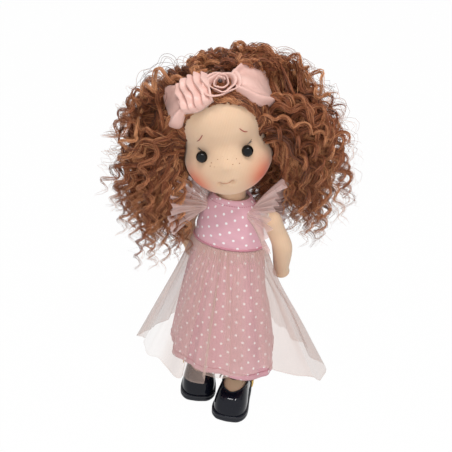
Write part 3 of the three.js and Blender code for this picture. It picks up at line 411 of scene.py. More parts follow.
def tulle_material(name, colour, alpha, variation, shade=(170, 124, 120)):
    """A fine sheer net: each layer lets most light through, and folds build up its colour, partly as denser net and
    partly as painted shade.
    """
    shader = Shader(name, Roughness=0.75)
    shader.surface.inputs["Sheen Weight"].default_value = 0.4
    where = shader.place()
    streak = shader.noise(where, 90, 4)
    grain = shader.noise(where, 1500, 2)
    red, green, blue = colour
    fold = shader.value("fold")
    folded = shader.math("MAXIMUM", fold, 0.0)
    net = shader.mix(streak, linear(red - 10, green - 12, blue - 12), linear(red + 10, green + 8, blue + 8))
    # Painted shade: where the fold mask is above 0, the net's colour darkens towards the shade colour.
    shader.colour(shader.mix(shader.math("MULTIPLY", folded, 0.6), net, linear(*shade)))
    share = shader.math("ADD", alpha - variation, shader.math("MULTIPLY", grain, 2 * variation))
    share = shader.math("ADD", share, shader.math("MULTIPLY", fold, 0.24))
    share = shader.math("ADD", share, shader.value("edge"), clamp=True)
    rays = shader.add("ShaderNodeLightPath")
    thin = shader.math("SUBTRACT", 1.0, shader.math("MULTIPLY", rays.outputs["Is Shadow Ray"], 0.6))
    shader.set(shader.surface.inputs["Alpha"], shader.math("MULTIPLY", share, thin))
    return shader.material


def satin_material(name):
    shader = Shader(name, Roughness=0.36)
    shader.surface.inputs["Sheen Weight"].default_value = 0.35
    shader.surface.inputs["Sheen Roughness"].default_value = 0.3
    shader.surface.inputs["Anisotropic"].default_value = 0.5
    where = shader.place()
    tone = shader.noise(where, 70, 3)
    shader.colour(shader.mix(tone, linear(222, 172, 160), linear(240, 202, 190)))
    crease = shader.noise(where, 260, 4, 0.6)
    shader.bump(crease, 0.35, 0.0012)
    return shader.material


def hair_material(name):
    """Curly fibre: each lock has its own tone, with fine streaks along it."""
    shader = Shader(name, Roughness=0.5)
    tone = shader.value("tone")
    fine = shader.noise(shader.place(), 420, 3)
    share = shader.math("ADD", shader.math("MULTIPLY", tone, 0.75), shader.math("MULTIPLY", fine, 0.25))
    ramp = shader.add("ShaderNodeValToRGB", share)
    ramp.color_ramp.elements[0].color = linear(66, 33, 20)
    ramp.color_ramp.elements[0].position = 0.08
    ramp.color_ramp.elements[1].color = linear(228, 164, 116)
    ramp.color_ramp.elements[1].position = 0.95
    middle = ramp.color_ramp.elements.new(0.5)
    middle.color = linear(156, 90, 56)
    shader.colour(ramp.outputs[0])
    shader.surface.inputs["Sheen Weight"].default_value = 0.15
    shader.surface.inputs["Sheen Tint"].default_value = linear(220, 160, 120)
    return shader.material


def gloss(name, colour, roughness=0.08, ior=1.45, coat=0.0, metallic=0.0, bump_scale=40, bump=0.02):
    shader = Shader(name, Roughness=roughness, IOR=ior, Metallic=metallic)
    shader.surface.inputs["Coat Weight"].default_value = coat
    shader.surface.inputs["Coat Roughness"].default_value = 0.04
    where = shader.place()
    tone = shader.noise(where, bump_scale, 2)
    red, green, blue = colour
    shader.colour(shader.mix(tone, linear(red, green, blue), linear(red + 8, green + 8, blue + 8)))
    shader.bump(tone, bump, 0.001)
    return shader.material


SKIN = skin_material("jersey_skin")
FACE_SKIN = skin_material("face_jersey", blushed=True, ribbed_by_uv=True)
DRESS = dotted_cotton("dotted_cotton", (228, 178, 188))
SKIRT_COTTON = dotted_cotton("dotted_skirt_cotton", (218, 166, 174), spacing=7.3, turn=40)
PIPING = plain_cloth("piping_thread", (206, 138, 152), 0.7)
STITCH = plain_cloth("stitching", (190, 112, 126), 0.8)
# The last colour given to each net is its painted shade in the folds.
TULLE = tulle_material("tulle_net", (214, 190, 178), 0.33, 0.02, (180, 142, 128))
RUFFLE_TULLE = tulle_material("ruffle_net", (228, 202, 196), 0.55, 0.06, (196, 158, 150))
SATIN = satin_material("satin")
HAIR = hair_material("curly_hair")
ELASTIC = plain_cloth("woven_elastic", (226, 214, 188), 0.8, 0.2, 900)
THREAD = plain_cloth("joint_thread", (230, 222, 205), 0.7)
BROW = plain_cloth("brow_thread", (158, 52, 40), 0.7)
LASH = plain_cloth("lash_thread", (92, 84, 82), 0.8)
FRECKLE = plain_cloth("freckle", (160, 92, 58), 0.9, 0.0)
MOUTH = plain_cloth("mouth_thread", (190, 128, 100), 0.9, 0.0)
EYE = gloss("eye_gloss", (4, 4, 5), 0.03, 1.33, bump=0)
PATENT = gloss("patent_leather", (12, 14, 25), 0.06, 1.33, bump_scale=120, bump=0.03)
SOLE = gloss("sole_rubber", (16, 18, 28), 0.3, 1.4, bump_scale=300, bump=0.1)
GOLD = gloss("buckle_gold", (214, 176, 98), 0.18, 1.5, metallic=1.0, bump_scale=200)
BEAD = gloss("bead_gloss", (52, 34, 30), 0.12, 1.5)
SNAP = gloss("snap_plastic", (226, 178, 184), 0.3, 1.45)


# Head

HEAD_HEIGHT = 87
HEAD_HALF_WIDTH = 32.6
HEAD_FRONT = 32.5
HEAD_BACK = 38
CHIN = -1.5
HEAD_WIDTH_SHARES = [
    (0, 0.22), (0.03, 0.52), (0.1, 0.78), (0.2, 0.95), (0.3, 0.99), (0.4, 0.92), (0.48, 0.88),
    (0.58, 0.94), (0.72, 1), (0.84, 0.91), (0.93, 0.7), (0.985, 0.36), (1, 0.16),
]
HEAD_FRONT_SHARES = [
    (0, 0.34), (0.03, 0.68), (0.1, 0.88), (0.2, 0.99), (0.32, 1.02), (0.42, 0.95), (0.5, 0.92),
    (0.62, 0.99), (0.74, 0.98), (0.85, 0.84), (0.93, 0.62), (0.985, 0.32), (1, 0.14),
]
HEAD_BACK_SHARES = [
    (0, 0.2), (0.03, 0.36), (0.1, 0.5), (0.2, 0.62), (0.35, 0.78), (0.5, 0.9),
    (0.65, 0.99), (0.75, 1), (0.86, 0.86), (0.94, 0.62), (0.985, 0.34), (1, 0.16),
]
HEAD_MIDDLE = np.array([0, 0, CHIN + 0.52 * HEAD_HEIGHT])
EYE_RADIUS = 4.2
EYE_SHARE = 0.4195
EYE_ANGLE = math.radians(33.2)


def head_points(angle, share, grow=0.0):
    """Points of the head's surface: angle 0 is the face's middle, a quarter turn the doll's left ear."""
    angle, share = np.broadcast_arrays(np.asarray(angle, float), np.asarray(share, float))
    front = HEAD_FRONT * follow(HEAD_FRONT_SHARES, share)
    rear = HEAD_BACK * follow(HEAD_BACK_SHARES, share)
    depth = np.where(np.cos(angle) > 0, front, rear)
    points = np.stack(
        [
            HEAD_HALF_WIDTH * follow(HEAD_WIDTH_SHARES, share) * np.sin(angle),
            -depth * np.cos(angle),
            CHIN + HEAD_HEIGHT * share,
        ],
        -1,
    )
    away = points - HEAD_MIDDLE
    return points + away / np.linalg.norm(away, axis=-1, keepdims=True) * np.asarray(grow, float)[..., None]


def face_mark(degrees, share, grow=0.0):
    return head_points(math.radians(degrees), share, grow)


# Soft forms of the face: (angle in degrees, height share, rise, reach)
FACE_FORMS = [
    (-33.2, 0.43, -1.9, 6.5), (33.2, 0.43, -1.9, 6.5), (0.5, 0.36, 1.5, 4.6), (0.5, 0.39, 0.8, 9),
    (-13, 0.19, -2.1, 1.9), (6.2, 0.196, -2.1, 1.9), (-15.5, 0.21, 0.5, 3.2), (9, 0.216, 0.5, 3.2),
    (-3.5, 0.16, 0.7, 4.4), (-3.5, 0.215, 0.4, 3.4), (-48, 0.22, 1.2, 9), (46, 0.22, 1.2, 9),
]


def mouth_line(step):
    """A point of the crease between the mouth's two corners."""
    left, right = face_mark(-13, 0.19), face_mark(6.2, 0.196)
    return left * (1 - step) + right * step + np.array([0, 0, 0.9 * math.sin(math.pi * step)])


def face_rise(base):
    """How far the jersey stands off the plain head at each point."""
    rise = np.zeros(base.shape[:-1])
    for degrees, height, lift, reach in FACE_FORMS:
        gap = np.linalg.norm(base - face_mark(degrees, height), axis=-1)
        rise += lift * np.exp(-((gap / reach) ** 2))
    for step in np.linspace(0, 1, 25):
        gap = np.linalg.norm(base - mouth_line(step), axis=-1)
        rise -= 0.14 * np.exp(-((gap / 0.8) ** 2))
    return rise


def make_head():
    columns, levels = 260, 190
    even = np.linspace(-math.pi, math.pi, columns + 1)
    angle = even - 0.4 * np.sin(even)
    share = (1 - np.cos(np.linspace(0, math.pi, levels))) / 2
    angles, shares = np.meshgrid(angle, share)
    base = head_points(angles, shares)
    away = base - HEAD_MIDDLE
    away /= np.linalg.norm(away, axis=-1, keepdims=True)
    points = base + away * face_rise(base)[..., None]
    blush = np.zeros(base.shape[:2])
    for degrees, height, reach in ((-52, 0.175, 12), (52, 0.175, 12)):
        gap = np.linalg.norm(base - face_mark(degrees, height), axis=-1)
        blush = np.maximum(blush, 0.95 * np.exp(-((gap / reach) ** 2.4)))
    # Painted shade: darker in the eye hollows, at the mouth's corners and along the mouth's crease, where shade falls.
    shade = np.zeros(base.shape[:2])
    for degrees, height, strength, reach in (
        (-34, 0.45, 0.28, 6.0), (34, 0.45, 0.28, 6.0), (-13, 0.19, 0.4, 1.3), (6.2, 0.196, 0.4, 1.3),
    ):
        gap = np.linalg.norm(base - face_mark(degrees, height), axis=-1)
        shade = np.maximum(shade, strength * np.exp(-((gap / reach) ** 2)))
    for step in np.linspace(0, 1, 25):
        gap = np.linalg.norm(base - mouth_line(step), axis=-1)
        shade = np.maximum(shade, 0.34 * np.exp(-((gap / 0.75) ** 2)))
    flat = np.stack([angles * 30, CHIN + HEAD_HEIGHT * shares + 4 * np.sin(angles)], -1)
    head = make_piece(
        "head_jersey", points, grid_faces(levels, columns + 1), FACE_SKIN, HEAD, flat, flip=False
    )
    paint(head, "blush", blush)
    paint(head, "shade", shade)
    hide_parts("head")
    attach(head, "head")
    return head


def stroke(marks, radius, grow=0.25, count=12):
    path = smooth_path([face_mark(degrees, share) for degrees, share in marks], count)
    away = path - HEAD_MIDDLE
    away /= np.linalg.norm(away, axis=-1, keepdims=True)
    path = path + away * (face_rise(path) + grow)[:, None]
    swell = np.sin(np.pi * np.linspace(0.12, 0.88, count)) ** 0.6
    return path, radius * swell


def make_face_details():
    def threads(name, strokes, radius, material):
        parts = []
        for i, marks in enumerate(strokes):
            path, radii = stroke(marks, radius)
            parts.append(make_tube(f"{name}_{i}", path, radii, 8, material, HEAD, across=(0, 1, 0)))
        piece = join(name, parts) if len(parts) > 1 else parts[0]
        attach(piece, "head")
        return piece

    brows = [
        [(-35, 0.56), (-30, 0.578), (-25.5, 0.607), (-22.9, 0.628)],
        [(25.1, 0.641), (28, 0.617), (32, 0.595), (36, 0.586)],
    ]
    threads("brow_stitches", brows, 0.36, BROW)
    lashes = [
        [(-41.3, 0.478), (-37, 0.469), (-32.9, 0.46)],
        [(-39.5, 0.492), (-36.5, 0.474), (-34, 0.462)],
        [(36.5, 0.462), (40, 0.468), (44.5, 0.476)],
        [(37.5, 0.463), (41, 0.476), (44, 0.494)],
    ]
    threads("lash_stitches", lashes, 0.24, LASH)
    threads("mouth_thread", [[(-13, 0.19), (-8, 0.199), (-3, 0.203), (2, 0.202), (6.2, 0.196)]], 0.2, MOUTH)
    dots = [
        (-2.3, 0.432), (-8.9, 0.411), (3.8, 0.407), (15.4, 0.393), (-18.4, 0.384), (-20.4, 0.358),
        (-14.7, 0.354), (9.1, 0.363), (18, 0.353),
    ]
    parts = []
    for i, (degrees, share) in enumerate(dots):
        centre = face_mark(degrees, share, 0.1 + (1.3 if abs(degrees) < 6 else 0.5) * 0)
        reach = np.linalg.norm(centre - face_mark(0.5, 0.36))
        centre = face_mark(degrees, share, 1.5 * math.exp(-((reach / 4.6) ** 2)) + 0.8 * math.exp(-((reach / 9) ** 2)))
        out = (centre - HEAD_MIDDLE) / np.linalg.norm(centre - HEAD_MIDDLE)
        side = np.cross(out, (0, 0, 1))
        side /= np.linalg.norm(side)
        up = np.cross(side, out)
        angle = np.linspace(0, FULL_TURN, 12, endpoint=False)
        size = 0.42 if i % 3 else 0.34
        rim = centre + size * (np.cos(angle)[:, None] * side + np.sin(angle)[:, None] * up)
        points = np.vstack([rim, centre + 0.14 * out])
        faces = [(k, (k + 1) % 12, 12) for k in range(12)]
        parts.append(make_piece(f"freckle_{i}", points, faces, FRECKLE, HEAD))
    freckles = join("freckles", parts)
    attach(freckles, "head")


def make_ball(name, centre, radius, stretch, material, matrix, segments=48, rings=32):
    angle = np.linspace(0, FULL_TURN, segments, endpoint=False)
    rise = np.linspace(0.001, math.pi - 0.001, rings)
    angles, rises = np.meshgrid(angle, rise)
    unit = np.stack([np.sin(rises) * np.cos(angles), np.sin(rises) * np.sin(angles), -np.cos(rises)], -1)
    points = np.array(centre) + radius * unit * np.array(stretch)
    return make_piece(name, points, grid_faces(rings, segments, True), material, matrix)


def make_eyes_and_ears():
    for side, word in ((1, "left"), (-1, "right")):
        centre = head_points(side * EYE_ANGLE, EYE_SHARE, -0.35)
        eye = make_ball(f"{word}_eye_dome", centre, EYE_RADIUS, (1, 1, 1), EYE, HEAD)
        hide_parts(f"{word}_eye")
        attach(eye, "head")
        ear_share = (25 - CHIN) / HEAD_HEIGHT
        place = head_points(side * 0.53 * math.pi, ear_share, 2.2)
        ear = make_ball(f"{word}_ear_jersey", place, 6.5, (0.42, 0.62, 1), SKIN, HEAD)
        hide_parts(f"{word}_ear")
        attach(ear, "head")


# Body

WAIST_HEIGHT, CHEST_HEIGHT, ARMHOLE_HEIGHT, NECKLINE_HEIGHT = 141, 156, 168, 177
WAIST = (27.4, 18.2)
CHEST = (25.4, 17.6)
ARMHOLE = (21.6, 14.6)
NECKLINE = (14, 11.8)
BINDING_RADIUS = 1.1
HIP_HEIGHT = 112
BODY_ROWS = [
    (WAIST_HEIGHT, *WAIST),
    (148.5, 26.4, 18.2),
    (CHEST_HEIGHT, *CHEST),
    (162, 23.5, 16.1),
    (ARMHOLE_HEIGHT, *ARMHOLE),
    (172.5, 19, 12.85),
    (NECKLINE_HEIGHT, 15.1, 12.9),
]


def body_at(height, inset=0.0):
    rows = np.array(BODY_ROWS)
    return (
        follow(rows[:, [0, 1]], height) - inset,
        follow(rows[:, [0, 2]], height) - inset,
    )


def make_body():
    rise = [0, 4, 9, 14.5, 21.5]
    seat = [(HIP_HEIGHT + 1.3 + r, w, d) for r, w, d in zip(
        rise, (22, 22.1, 23.7, 25, 25.5), (1.2, 4, 9, 13.9, 16.6))]
    trunk = [(z, w - 1.6, d - 1.6) for z, w, d in BODY_ROWS]
    rows = np.array(seat + trunk)
    height = np.linspace(rows[0, 0], rows[-1, 0] - 1.5, 60)
    half_width, half_depth = follow(rows[:, [0, 1]], height), follow(rows[:, [0, 2]], height)
    angle = np.linspace(0, FULL_TURN, 64, endpoint=False)
    points = np.stack(
        [
            half_width[:, None] * np.sin(angle),
            -half_depth[:, None] * np.cos(angle),
            np.broadcast_to(height[:, None], (60, 64)),
        ],
        -1,
    )
    faces = grid_faces(60, 64, True) + [tuple(reversed(range(64))), tuple(59 * 64 + j for j in range(64))]
    torso = make_piece("torso_jersey", points, faces, SKIN)
    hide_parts("torso")
    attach(torso, "torso")

    neck_rows = np.array([(-11, 9.9), (-6, 9.6), (-1, 9.6), (3, 9.9), (6, 9.0)])
    height = np.linspace(-11, 6, 24)
    radius = follow(neck_rows, height)
    points = np.stack(
        [
            radius[:, None] * np.sin(angle),
            -radius[:, None] * np.cos(angle),
            np.broadcast_to(height[:, None], (24, 64)),
        ],
        -1,
    )
    faces = grid_faces(24, 64, True) + [tuple(reversed(range(64))), tuple(23 * 64 + j for j in range(64))]
    neck = make_piece("neck_jersey", points, faces, SKIN, NECK)
    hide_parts("neck")
    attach(neck, "neck")


def arm_path(side):
    """The arm's line from its round shoulder to the elbow, back along the forearm and into the hand."""
    splay, back, fore_back = math.radians(18), math.radians(16), math.radians(24)

    def reach(start, length, lean, out):
        return start + np.array(
            [
                side * length * math.sin(splay) * out,
                length * math.sin(lean),
                -length * math.cos(lean) * math.cos(splay),
            ]
        )

    shoulder = np.array([side * 29.4, 0, 165 + 0.6 * 7.2])
    elbow = reach(shoulder, 33, back, 1)
    wrist = reach(elbow, 26, fore_back, -0.2)
    hand = reach(wrist, 12, fore_back, -0.2)
    return [shoulder, (shoulder + elbow) / 2, elbow, wrist, hand]


def make_arms():
    rows = [(0, 7.2), (0.14, 7.3), (0.28, 7.0), (0.42, 7.3), (0.52, 7.7), (0.66, 6.9), (0.8, 6.0), (0.92, 6.7), (1, 6.4)]
    for side, word in ((1, "left"), (-1, "right")):
        count = 72
        t = np.linspace(0, 1, count)
        dome = np.sqrt(np.clip(1 - np.clip(1 - t / 0.12, 0, 1) ** 2, 0.0004, 1))
        tip = np.sqrt(np.clip(1 - np.clip(1 - (1 - t) / 0.1, 0, 1) ** 2, 0.0004, 1))
        radii = follow(rows, t) * dome * tip
        path = smooth_path(arm_path(side), count)
        arm = make_tube(f"{word}_arm_jersey", path, radii, 40, SKIN)
        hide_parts(f"{word}_arm")
        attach(arm, f"{word}_arm")


SHOE_WIDTH_SHARES = [
    (0, 0.3), (0.04, 0.56), (0.12, 0.74), (0.24, 0.82), (0.38, 0.86), (0.52, 0.92), (0.66, 0.99),
    (0.78, 1), (0.87, 0.92), (0.94, 0.74), (0.985, 0.46), (1, 0.0),
]
SHOE_HEIGHT_SHARES = [
    (0, 0.5), (0.04, 0.74), (0.12, 0.88), (0.24, 0.96), (0.38, 1), (0.52, 0.94), (0.66, 0.8),
    (0.78, 0.7), (0.87, 0.62), (0.94, 0.5), (0.985, 0.36), (1, 0.22),
]
SOLE_THICKNESS, SHOE_HEIGHT, SHOE_WELT = 5, 22, 1.2
SOLE_LENGTH, SOLE_HALF_WIDTH, HEEL_BEHIND_ANKLE = 54, 14.4, 21
ANKLE_HALF_SPAN = 18
THROAT = (10.0, 17.2, -3.6)


def shoe_frame(side):
    step, toe = (7.6, 8) if side > 0 else (-4.8, 18)
    turn = Matrix.Rotation(math.radians(toe), 4, "Z")
    return DOLL @ Matrix.Translation((side * ANKLE_HALF_SPAN, -step, 0)) @ turn


def shoe_outline(inset, count):
    """Half outline of the shoe in plan, from the heel to the toe."""
    t = (1 - np.cos(np.linspace(0, math.pi, count))) / 2
    length = SOLE_LENGTH - 2 * (SHOE_WELT + inset)
    y = HEEL_BEHIND_ANKLE - SHOE_WELT - inset - t * length
    shares = np.clip(follow(SHOE_WIDTH_SHARES, t), 0, None)
    ends = np.minimum(1, np.sqrt(np.clip(t / 0.05, 0, 1)))
    half = ((SOLE_HALF_WIDTH - SHOE_WELT) * shares - inset) * np.where(t < 0.05, ends, 1)
    return t, y, np.clip(half, 0, None)


def shoe_loop(inset, count=64):
    """Closed outline of the shoe in plan, as points."""
    _, y, half = shoe_outline(inset, count)
    right = np.stack([half, y], -1)
    left = np.stack([-half, y], -1)[::-1]
    return np.vstack([right, left[1:-1]])


def shoe_top(x, y, inset=0.0):
    """Height of the shoe's upper over the sole at a place in plan."""
    length = SOLE_LENGTH - 2 * (SHOE_WELT + inset)
    t = np.clip((HEEL_BEHIND_ANKLE - SHOE_WELT - inset - y) / length, 0.0005, 0.9995)
    half = np.maximum((SOLE_HALF_WIDTH - SHOE_WELT) * follow(SHOE_WIDTH_SHARES, t) - inset, 0.3)
    ends = np.sqrt(np.clip(t / 0.03, 0, 1)) * np.sqrt(np.clip((1 - t) / 0.05, 0, 1))
    high = (SHOE_HEIGHT * follow(SHOE_HEIGHT_SHARES, t) - inset) * ends
    return high * np.clip(1 - np.clip(np.abs(x) / half, 0, 1) ** 3.2, 0, 1) ** 0.4


def ray_to_outline(angle, inset=0.0):
    """Distance in plan from the throat's middle to the shoe's outline, along each angle."""
    loop = shoe_loop(inset, 220) - np.array([0, THROAT[2]])
    bearing = np.arctan2(loop[:, 1], loop[:, 0])
    order = np.argsort(bearing)
    reach = np.hypot(loop[:, 0], loop[:, 1])
    return np.interp(
        np.mod(angle + math.pi, FULL_TURN) - math.pi,
        np.concatenate([bearing[order] - FULL_TURN, bearing[order], bearing[order] + FULL_TURN]),
        np.tile(reach[order], 3),
    )


def throat_reach(angle):
    a, b, _ = THROAT
    return a * b / np.hypot(b * np.cos(angle), a * np.sin(angle))


def make_shoes():
    for side, word in ((1, "left"), (-1, "right")):
        place = shoe_frame(side)
        angle = np.linspace(0, FULL_TURN, 160, endpoint=False)
        inner, outer = throat_reach(angle), ray_to_outline(angle)
        outer = np.maximum(outer, inner + 0.8)
        steps = np.sin(np.linspace(0, math.pi / 2, 34))
        points = []
        for step in steps:
            reach = inner + (outer - inner) * step
            x, y = reach * np.cos(angle), THROAT[2] + reach * np.sin(angle)
            z = SOLE_THICKNESS + (shoe_top(x, y) if step < 1 else 0 * x)
            points.append(np.stack([x, y, z], -1))
        points.append(points[-1] - np.array([0, 0, 0.6]))
        upper = make_piece(
            f"{word}_patent_upper", np.array(points), grid_faces(len(points), 160, True), PATENT, place, flip=True
        )
        thicken(upper, 0.9)
        rim = np.array(points[0])
        binding = make_tube(f"{word}_throat_binding", rim, 0.62, 10, PATENT, place, closed=True)
        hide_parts(f"{word}_shoe_upper")
        for piece in (upper, binding):
            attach(piece, f"{word}_leg")

        rings = []
        for inset, height in (
            (0.9, 0), (0.3, 0.15), (0, 0.8), (0, 2.6), (0.35, 3.0), (0.35, 3.3), (0, 3.7), (0, 4.6),
            (0.3, 4.95), (1.2, 5.1), (2.2, 5.1),
        ):
            loop = shoe_loop(inset - SHOE_WELT)
            rings.append(np.column_stack([loop, np.full(len(loop), height)]))
        count = len(rings[0])
        faces = grid_faces(len(rings), count, True)
        faces += [tuple(reversed(range(count))), tuple((len(rings) - 1) * count + j for j in range(count))]
        sole = make_piece(f"{word}_rubber_sole", np.array(rings), faces, SOLE, place, flip=False)
        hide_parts(f"{word}_shoe_sole")
        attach(sole, f"{word}_leg")
        make_strap(side, word, place)


def strap_curve(out, count):
    front = -(7.8 + 1.3 + out)
    quarter = SOLE_HALF_WIDTH * 0.86 + out
    low = SOLE_THICKNESS + 0.62 * SHOE_HEIGHT
    top = SOLE_THICKNESS + SHOE_HEIGHT + 1.4 * 1.3 + out
    ends = [
        (quarter, 0.2 * front, low),
        (0.93 * quarter, 0.45 * front, 0.6 * low + 0.4 * top),
        (0.66 * quarter, 0.86 * front, 0.2 * low + 0.8 * top),
    ]
    middle = [(0, 1.12 * front - 2.4, top - 1.6)]
    mirrored = [(-x, y, z) for x, y, z in ends]
    return smooth_path(mirrored + middle + ends[::-1], count)


def make_strap(side, word, place):
    count = 60
    along = np.array([0, -1, 0.35])
    along /= np.linalg.norm(along)
    inner, outer = strap_curve(0, count), strap_curve(1.0, count)
    profile = [(0, 1.0), (0.25, 1.0), (0.75, 0.97), (1, 0.86), (1.06, 0.5), (1.06, -0.5), (1, -0.86), (0.75, -0.97), (0.25, -1.0), (0, -1.0)]
    rings = [inner + (outer - inner) * depth + along * 2.3 * across for depth, across in profile]
    points = np.stack(rings, 1)
    sides = len(profile)
    faces = grid_faces(count, sides, True)
    faces += [tuple(reversed(range(sides))), tuple((count - 1) * sides + j for j in range(sides))]
    strap = make_piece(f"{word}_patent_strap", points, faces, PATENT, place)
    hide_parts(f"{word}_shoe_strap")
    seat = strap_curve(1.8, 400)[int(400 * 0.93)]
    centre = np.array([side * seat[0], seat[1], seat[2]])
    angle = np.linspace(0, FULL_TURN, 64, endpoint=False)

    def bend(value):
        return np.sign(value) * np.abs(value) ** 0.6

    loop = centre + np.stack([0 * angle, 2.8 * bend(np.cos(angle)), 3.5 * bend(np.sin(angle))], -1)
    buckle = make_tube(f"{word}_gold_buckle", loop, 0.5, 10, GOLD, place, closed=True, across=(1, 0, 0))
    prong_path = centre + np.stack([np.full(12, 0.15 * side), np.linspace(-2.6, 2.9, 12), np.linspace(-0.2, 0.2, 12)], -1)
    prong = make_tube(f"{word}_gold_prong", prong_path, 0.42, 10, GOLD, place)
    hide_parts(f"{word}_shoe_buckle")
    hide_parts(f"{word}_shoe_prong")
    for piece, name in ((strap, "patent"), (buckle, "buckle_metal"), (prong, "buckle_metal")):
        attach(piece, f"{word}_strap")


def make_legs():
    rows = [
        (113.0, 9.6, 0.5), (112, 9.6, 1.2), (105, 9.8, 4.4), (98, 10, 7.6), (88, 9.8, 9.6),
        (85, 9.3, 9.3), (68, 8.6, 8.6), (47, 8.9, 8.9), (27, 7.8, 7.8), (16, 7.8, 7.8),
    ]
    rows = np.array(rows[::-1])
    for side, word in ((1, "left"), (-1, "right")):
        step = 7.6 if side > 0 else -4.8
        height = np.linspace(16, 113, 90)
        half_width, half_depth = follow(rows[:, [0, 1]], height), follow(rows[:, [0, 2]], height)
        share = np.clip((HIP_HEIGHT - height) / (HIP_HEIGHT - 27), 0, 1)
        angle = np.linspace(0, FULL_TURN, 48, endpoint=False)
        x = side * (13.4 + (ANKLE_HALF_SPAN - 13.4) * share)
        points = np.stack(
            [
                x[:, None] + half_width[:, None] * np.cos(angle),
                (-step * share)[:, None] + half_depth[:, None] * np.sin(angle),
                np.broadcast_to(height[:, None], (90, 48)),
            ],
            -1,
        )
        faces = grid_faces(90, 48, True) + [tuple(reversed(range(48))), tuple(89 * 48 + j for j in range(48))]
        shin = make_piece(f"{word}_leg_part", points, faces, SKIN)
        place = shoe_frame(side)
        around_foot = np.linspace(0, FULL_TURN, 96, endpoint=False)
        outer = ray_to_outline(around_foot, 1.6)
        rings = []
        for reach_share in np.sin(np.linspace(0.02, math.pi / 2, 30)):
            reach = outer * reach_share
            fx, fy = reach * np.cos(around_foot), THROAT[2] + reach * np.sin(around_foot)
            swell = 1.1 * np.exp(-((fx / 9) ** 2 + ((fy + 9) / 9) ** 2))
            rings.append(np.stack([fx, fy, SOLE_THICKNESS + 0.3 + shoe_top(fx, fy, 1.6) + swell], -1))
        rings.append(rings[-1] * np.array([1, 1, 0]) + np.array([0, 0, SOLE_THICKNESS + 0.3]))
        faces = grid_faces(31, 96, True) + [tuple(range(96)), tuple(reversed([30 * 96 + j for j in range(96)]))]
        foot = make_piece(f"{word}_foot_part", np.array(rings), faces, SKIN, place, flip=True)
        leg = join(f"{word}_leg_jersey", [shin, foot])
        remesh = leg.modifiers.new("one_skin", "REMESH")
        remesh.mode = "VOXEL"
        remesh.voxel_size = 0.9 * MM
        soften = leg.modifiers.new("soften", "SMOOTH")
        soften.iterations = 8
        apply_modifiers(leg)
        leg.data.shade_smooth()
        leg.data.materials.clear()
        leg.data.materials.append(SKIN)
        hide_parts(f"{word}_leg")
        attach(leg, f"{word}_leg")


# Dress

LINING_REACH_SHARES = [0.93, 0.98, 1.02, 0.97, 0.92, 0.88, 0.88, 0.88, 0.87, 0.87, 0.88, 0.92]
TULLE_FLARE_SHARES = [0.08, 0.06, 0.11, 1, 0.53, 0.47, 0.47, 0.47, 0.4, 0.47, 0.53, 0.24]
LINING_HEM, TULLE_HEM = 45, 37
SKIRT_TOP = WAIST_HEIGHT - 0.9
HAND_TURN = math.radians(122)


def waist_radius(angle):
    a, b = WAIST
    return a * b / np.hypot(b * np.sin(angle), a * np.cos(angle))


def beside_hand(angle, t):
    turn = np.abs(np.mod(angle + math.pi, FULL_TURN) - math.pi)
    return np.exp(-(((turn - HAND_TURN) / 0.5) ** 2) - ((t - 0.3) / 0.2) ** 2)


def lining_radius(angle, t):
    hem = 44 * around(LINING_REACH_SHARES, angle)
    fold = 1.6 * t * (1 + np.cos(9 * angle))
    top = waist_radius(angle)
    return top + (hem - top) * t**0.85 + fold - 5 * beside_hand(angle, t)


def tulle_radius(angle, t, folded=1.0):
    flare = 38 * around(TULLE_FLARE_SHARES, angle) * t**1.2
    fold = 4.2 * t**0.8 * (1 + folded * np.cos(15 * angle + np.sin(3 * angle)))
    return lining_radius(angle, t) + 0.9 + 2.6 * t + flare + fold / 2


def skirt_grid(radius_at, hem, columns, levels):
    angle = np.linspace(-math.pi, math.pi, columns + 1)
    t = np.linspace(0, 1, levels)
    angles, ts = np.meshgrid(angle, t)
    radius = radius_at(angles, ts)
    height = SKIRT_TOP + (hem - SKIRT_TOP) * ts
    points = np.stack([radius * np.sin(angles), -radius * np.cos(angles), height], -1)
    return angles, ts, points


def make_bodice():
    columns, levels = 120, 44
    angle = np.linspace(-math.pi, math.pi, columns + 1)
    height = np.linspace(WAIST_HEIGHT - 0.6, NECKLINE_HEIGHT + 0.4, levels)
    angles, heights = np.meshgrid(angle, height)
    half_width, half_depth = body_at(heights)
    crumple = 0.35 * np.sin(5 * angles + 0.4 * heights) * np.sin(0.35 * heights + 2 * angles)
    crumple *= np.clip((heights - WAIST_HEIGHT) / 4, 0, 1) * np.clip((NECKLINE_HEIGHT - heights) / 4, 0, 1)
    points = np.stack(
        [
            (half_width + crumple) * np.sin(angles),
            -(half_depth + crumple) * np.cos(angles),
            heights,
        ],
        -1,
    )
    flat = np.stack([angles * 23, heights - WAIST_HEIGHT], -1)
    bodice = make_piece("bodice_cotton", points, grid_faces(levels, columns + 1), DRESS, uv=flat, flip=False)
    thicken(bodice, 0.8)
    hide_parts("dress_bodice")
    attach(bodice, "torso")

    turn = np.linspace(0, FULL_TURN, 120, endpoint=False)
    ring = np.stack([NECKLINE[0] * np.sin(turn), -NECKLINE[1] * np.cos(turn), 0 * turn], -1)
    binding = make_tube(
        "neckline_fold", ring + np.array([0, 0, NECKLINE_HEIGHT + 0.2]), 1.15, 12, DRESS, closed=True
    )
    layer = binding.data.uv_layers.new(name="cloth")
    spots = np.zeros(len(layer.data) * 2)
    corners = np.zeros(len(binding.data.loops), int)
    binding.data.loops.foreach_get("vertex_index", corners)
    spots[0::2], spots[1::2] = corners // 12 * 0.63, 36 + corners % 12 * 0.6
    layer.data.foreach_set("uv", spots)
    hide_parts("neckline_binding")
    piping = make_piping(turn)
    for piece in (binding, piping):
        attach(piece, "torso")
    make_neck_stitches()
    return bodice


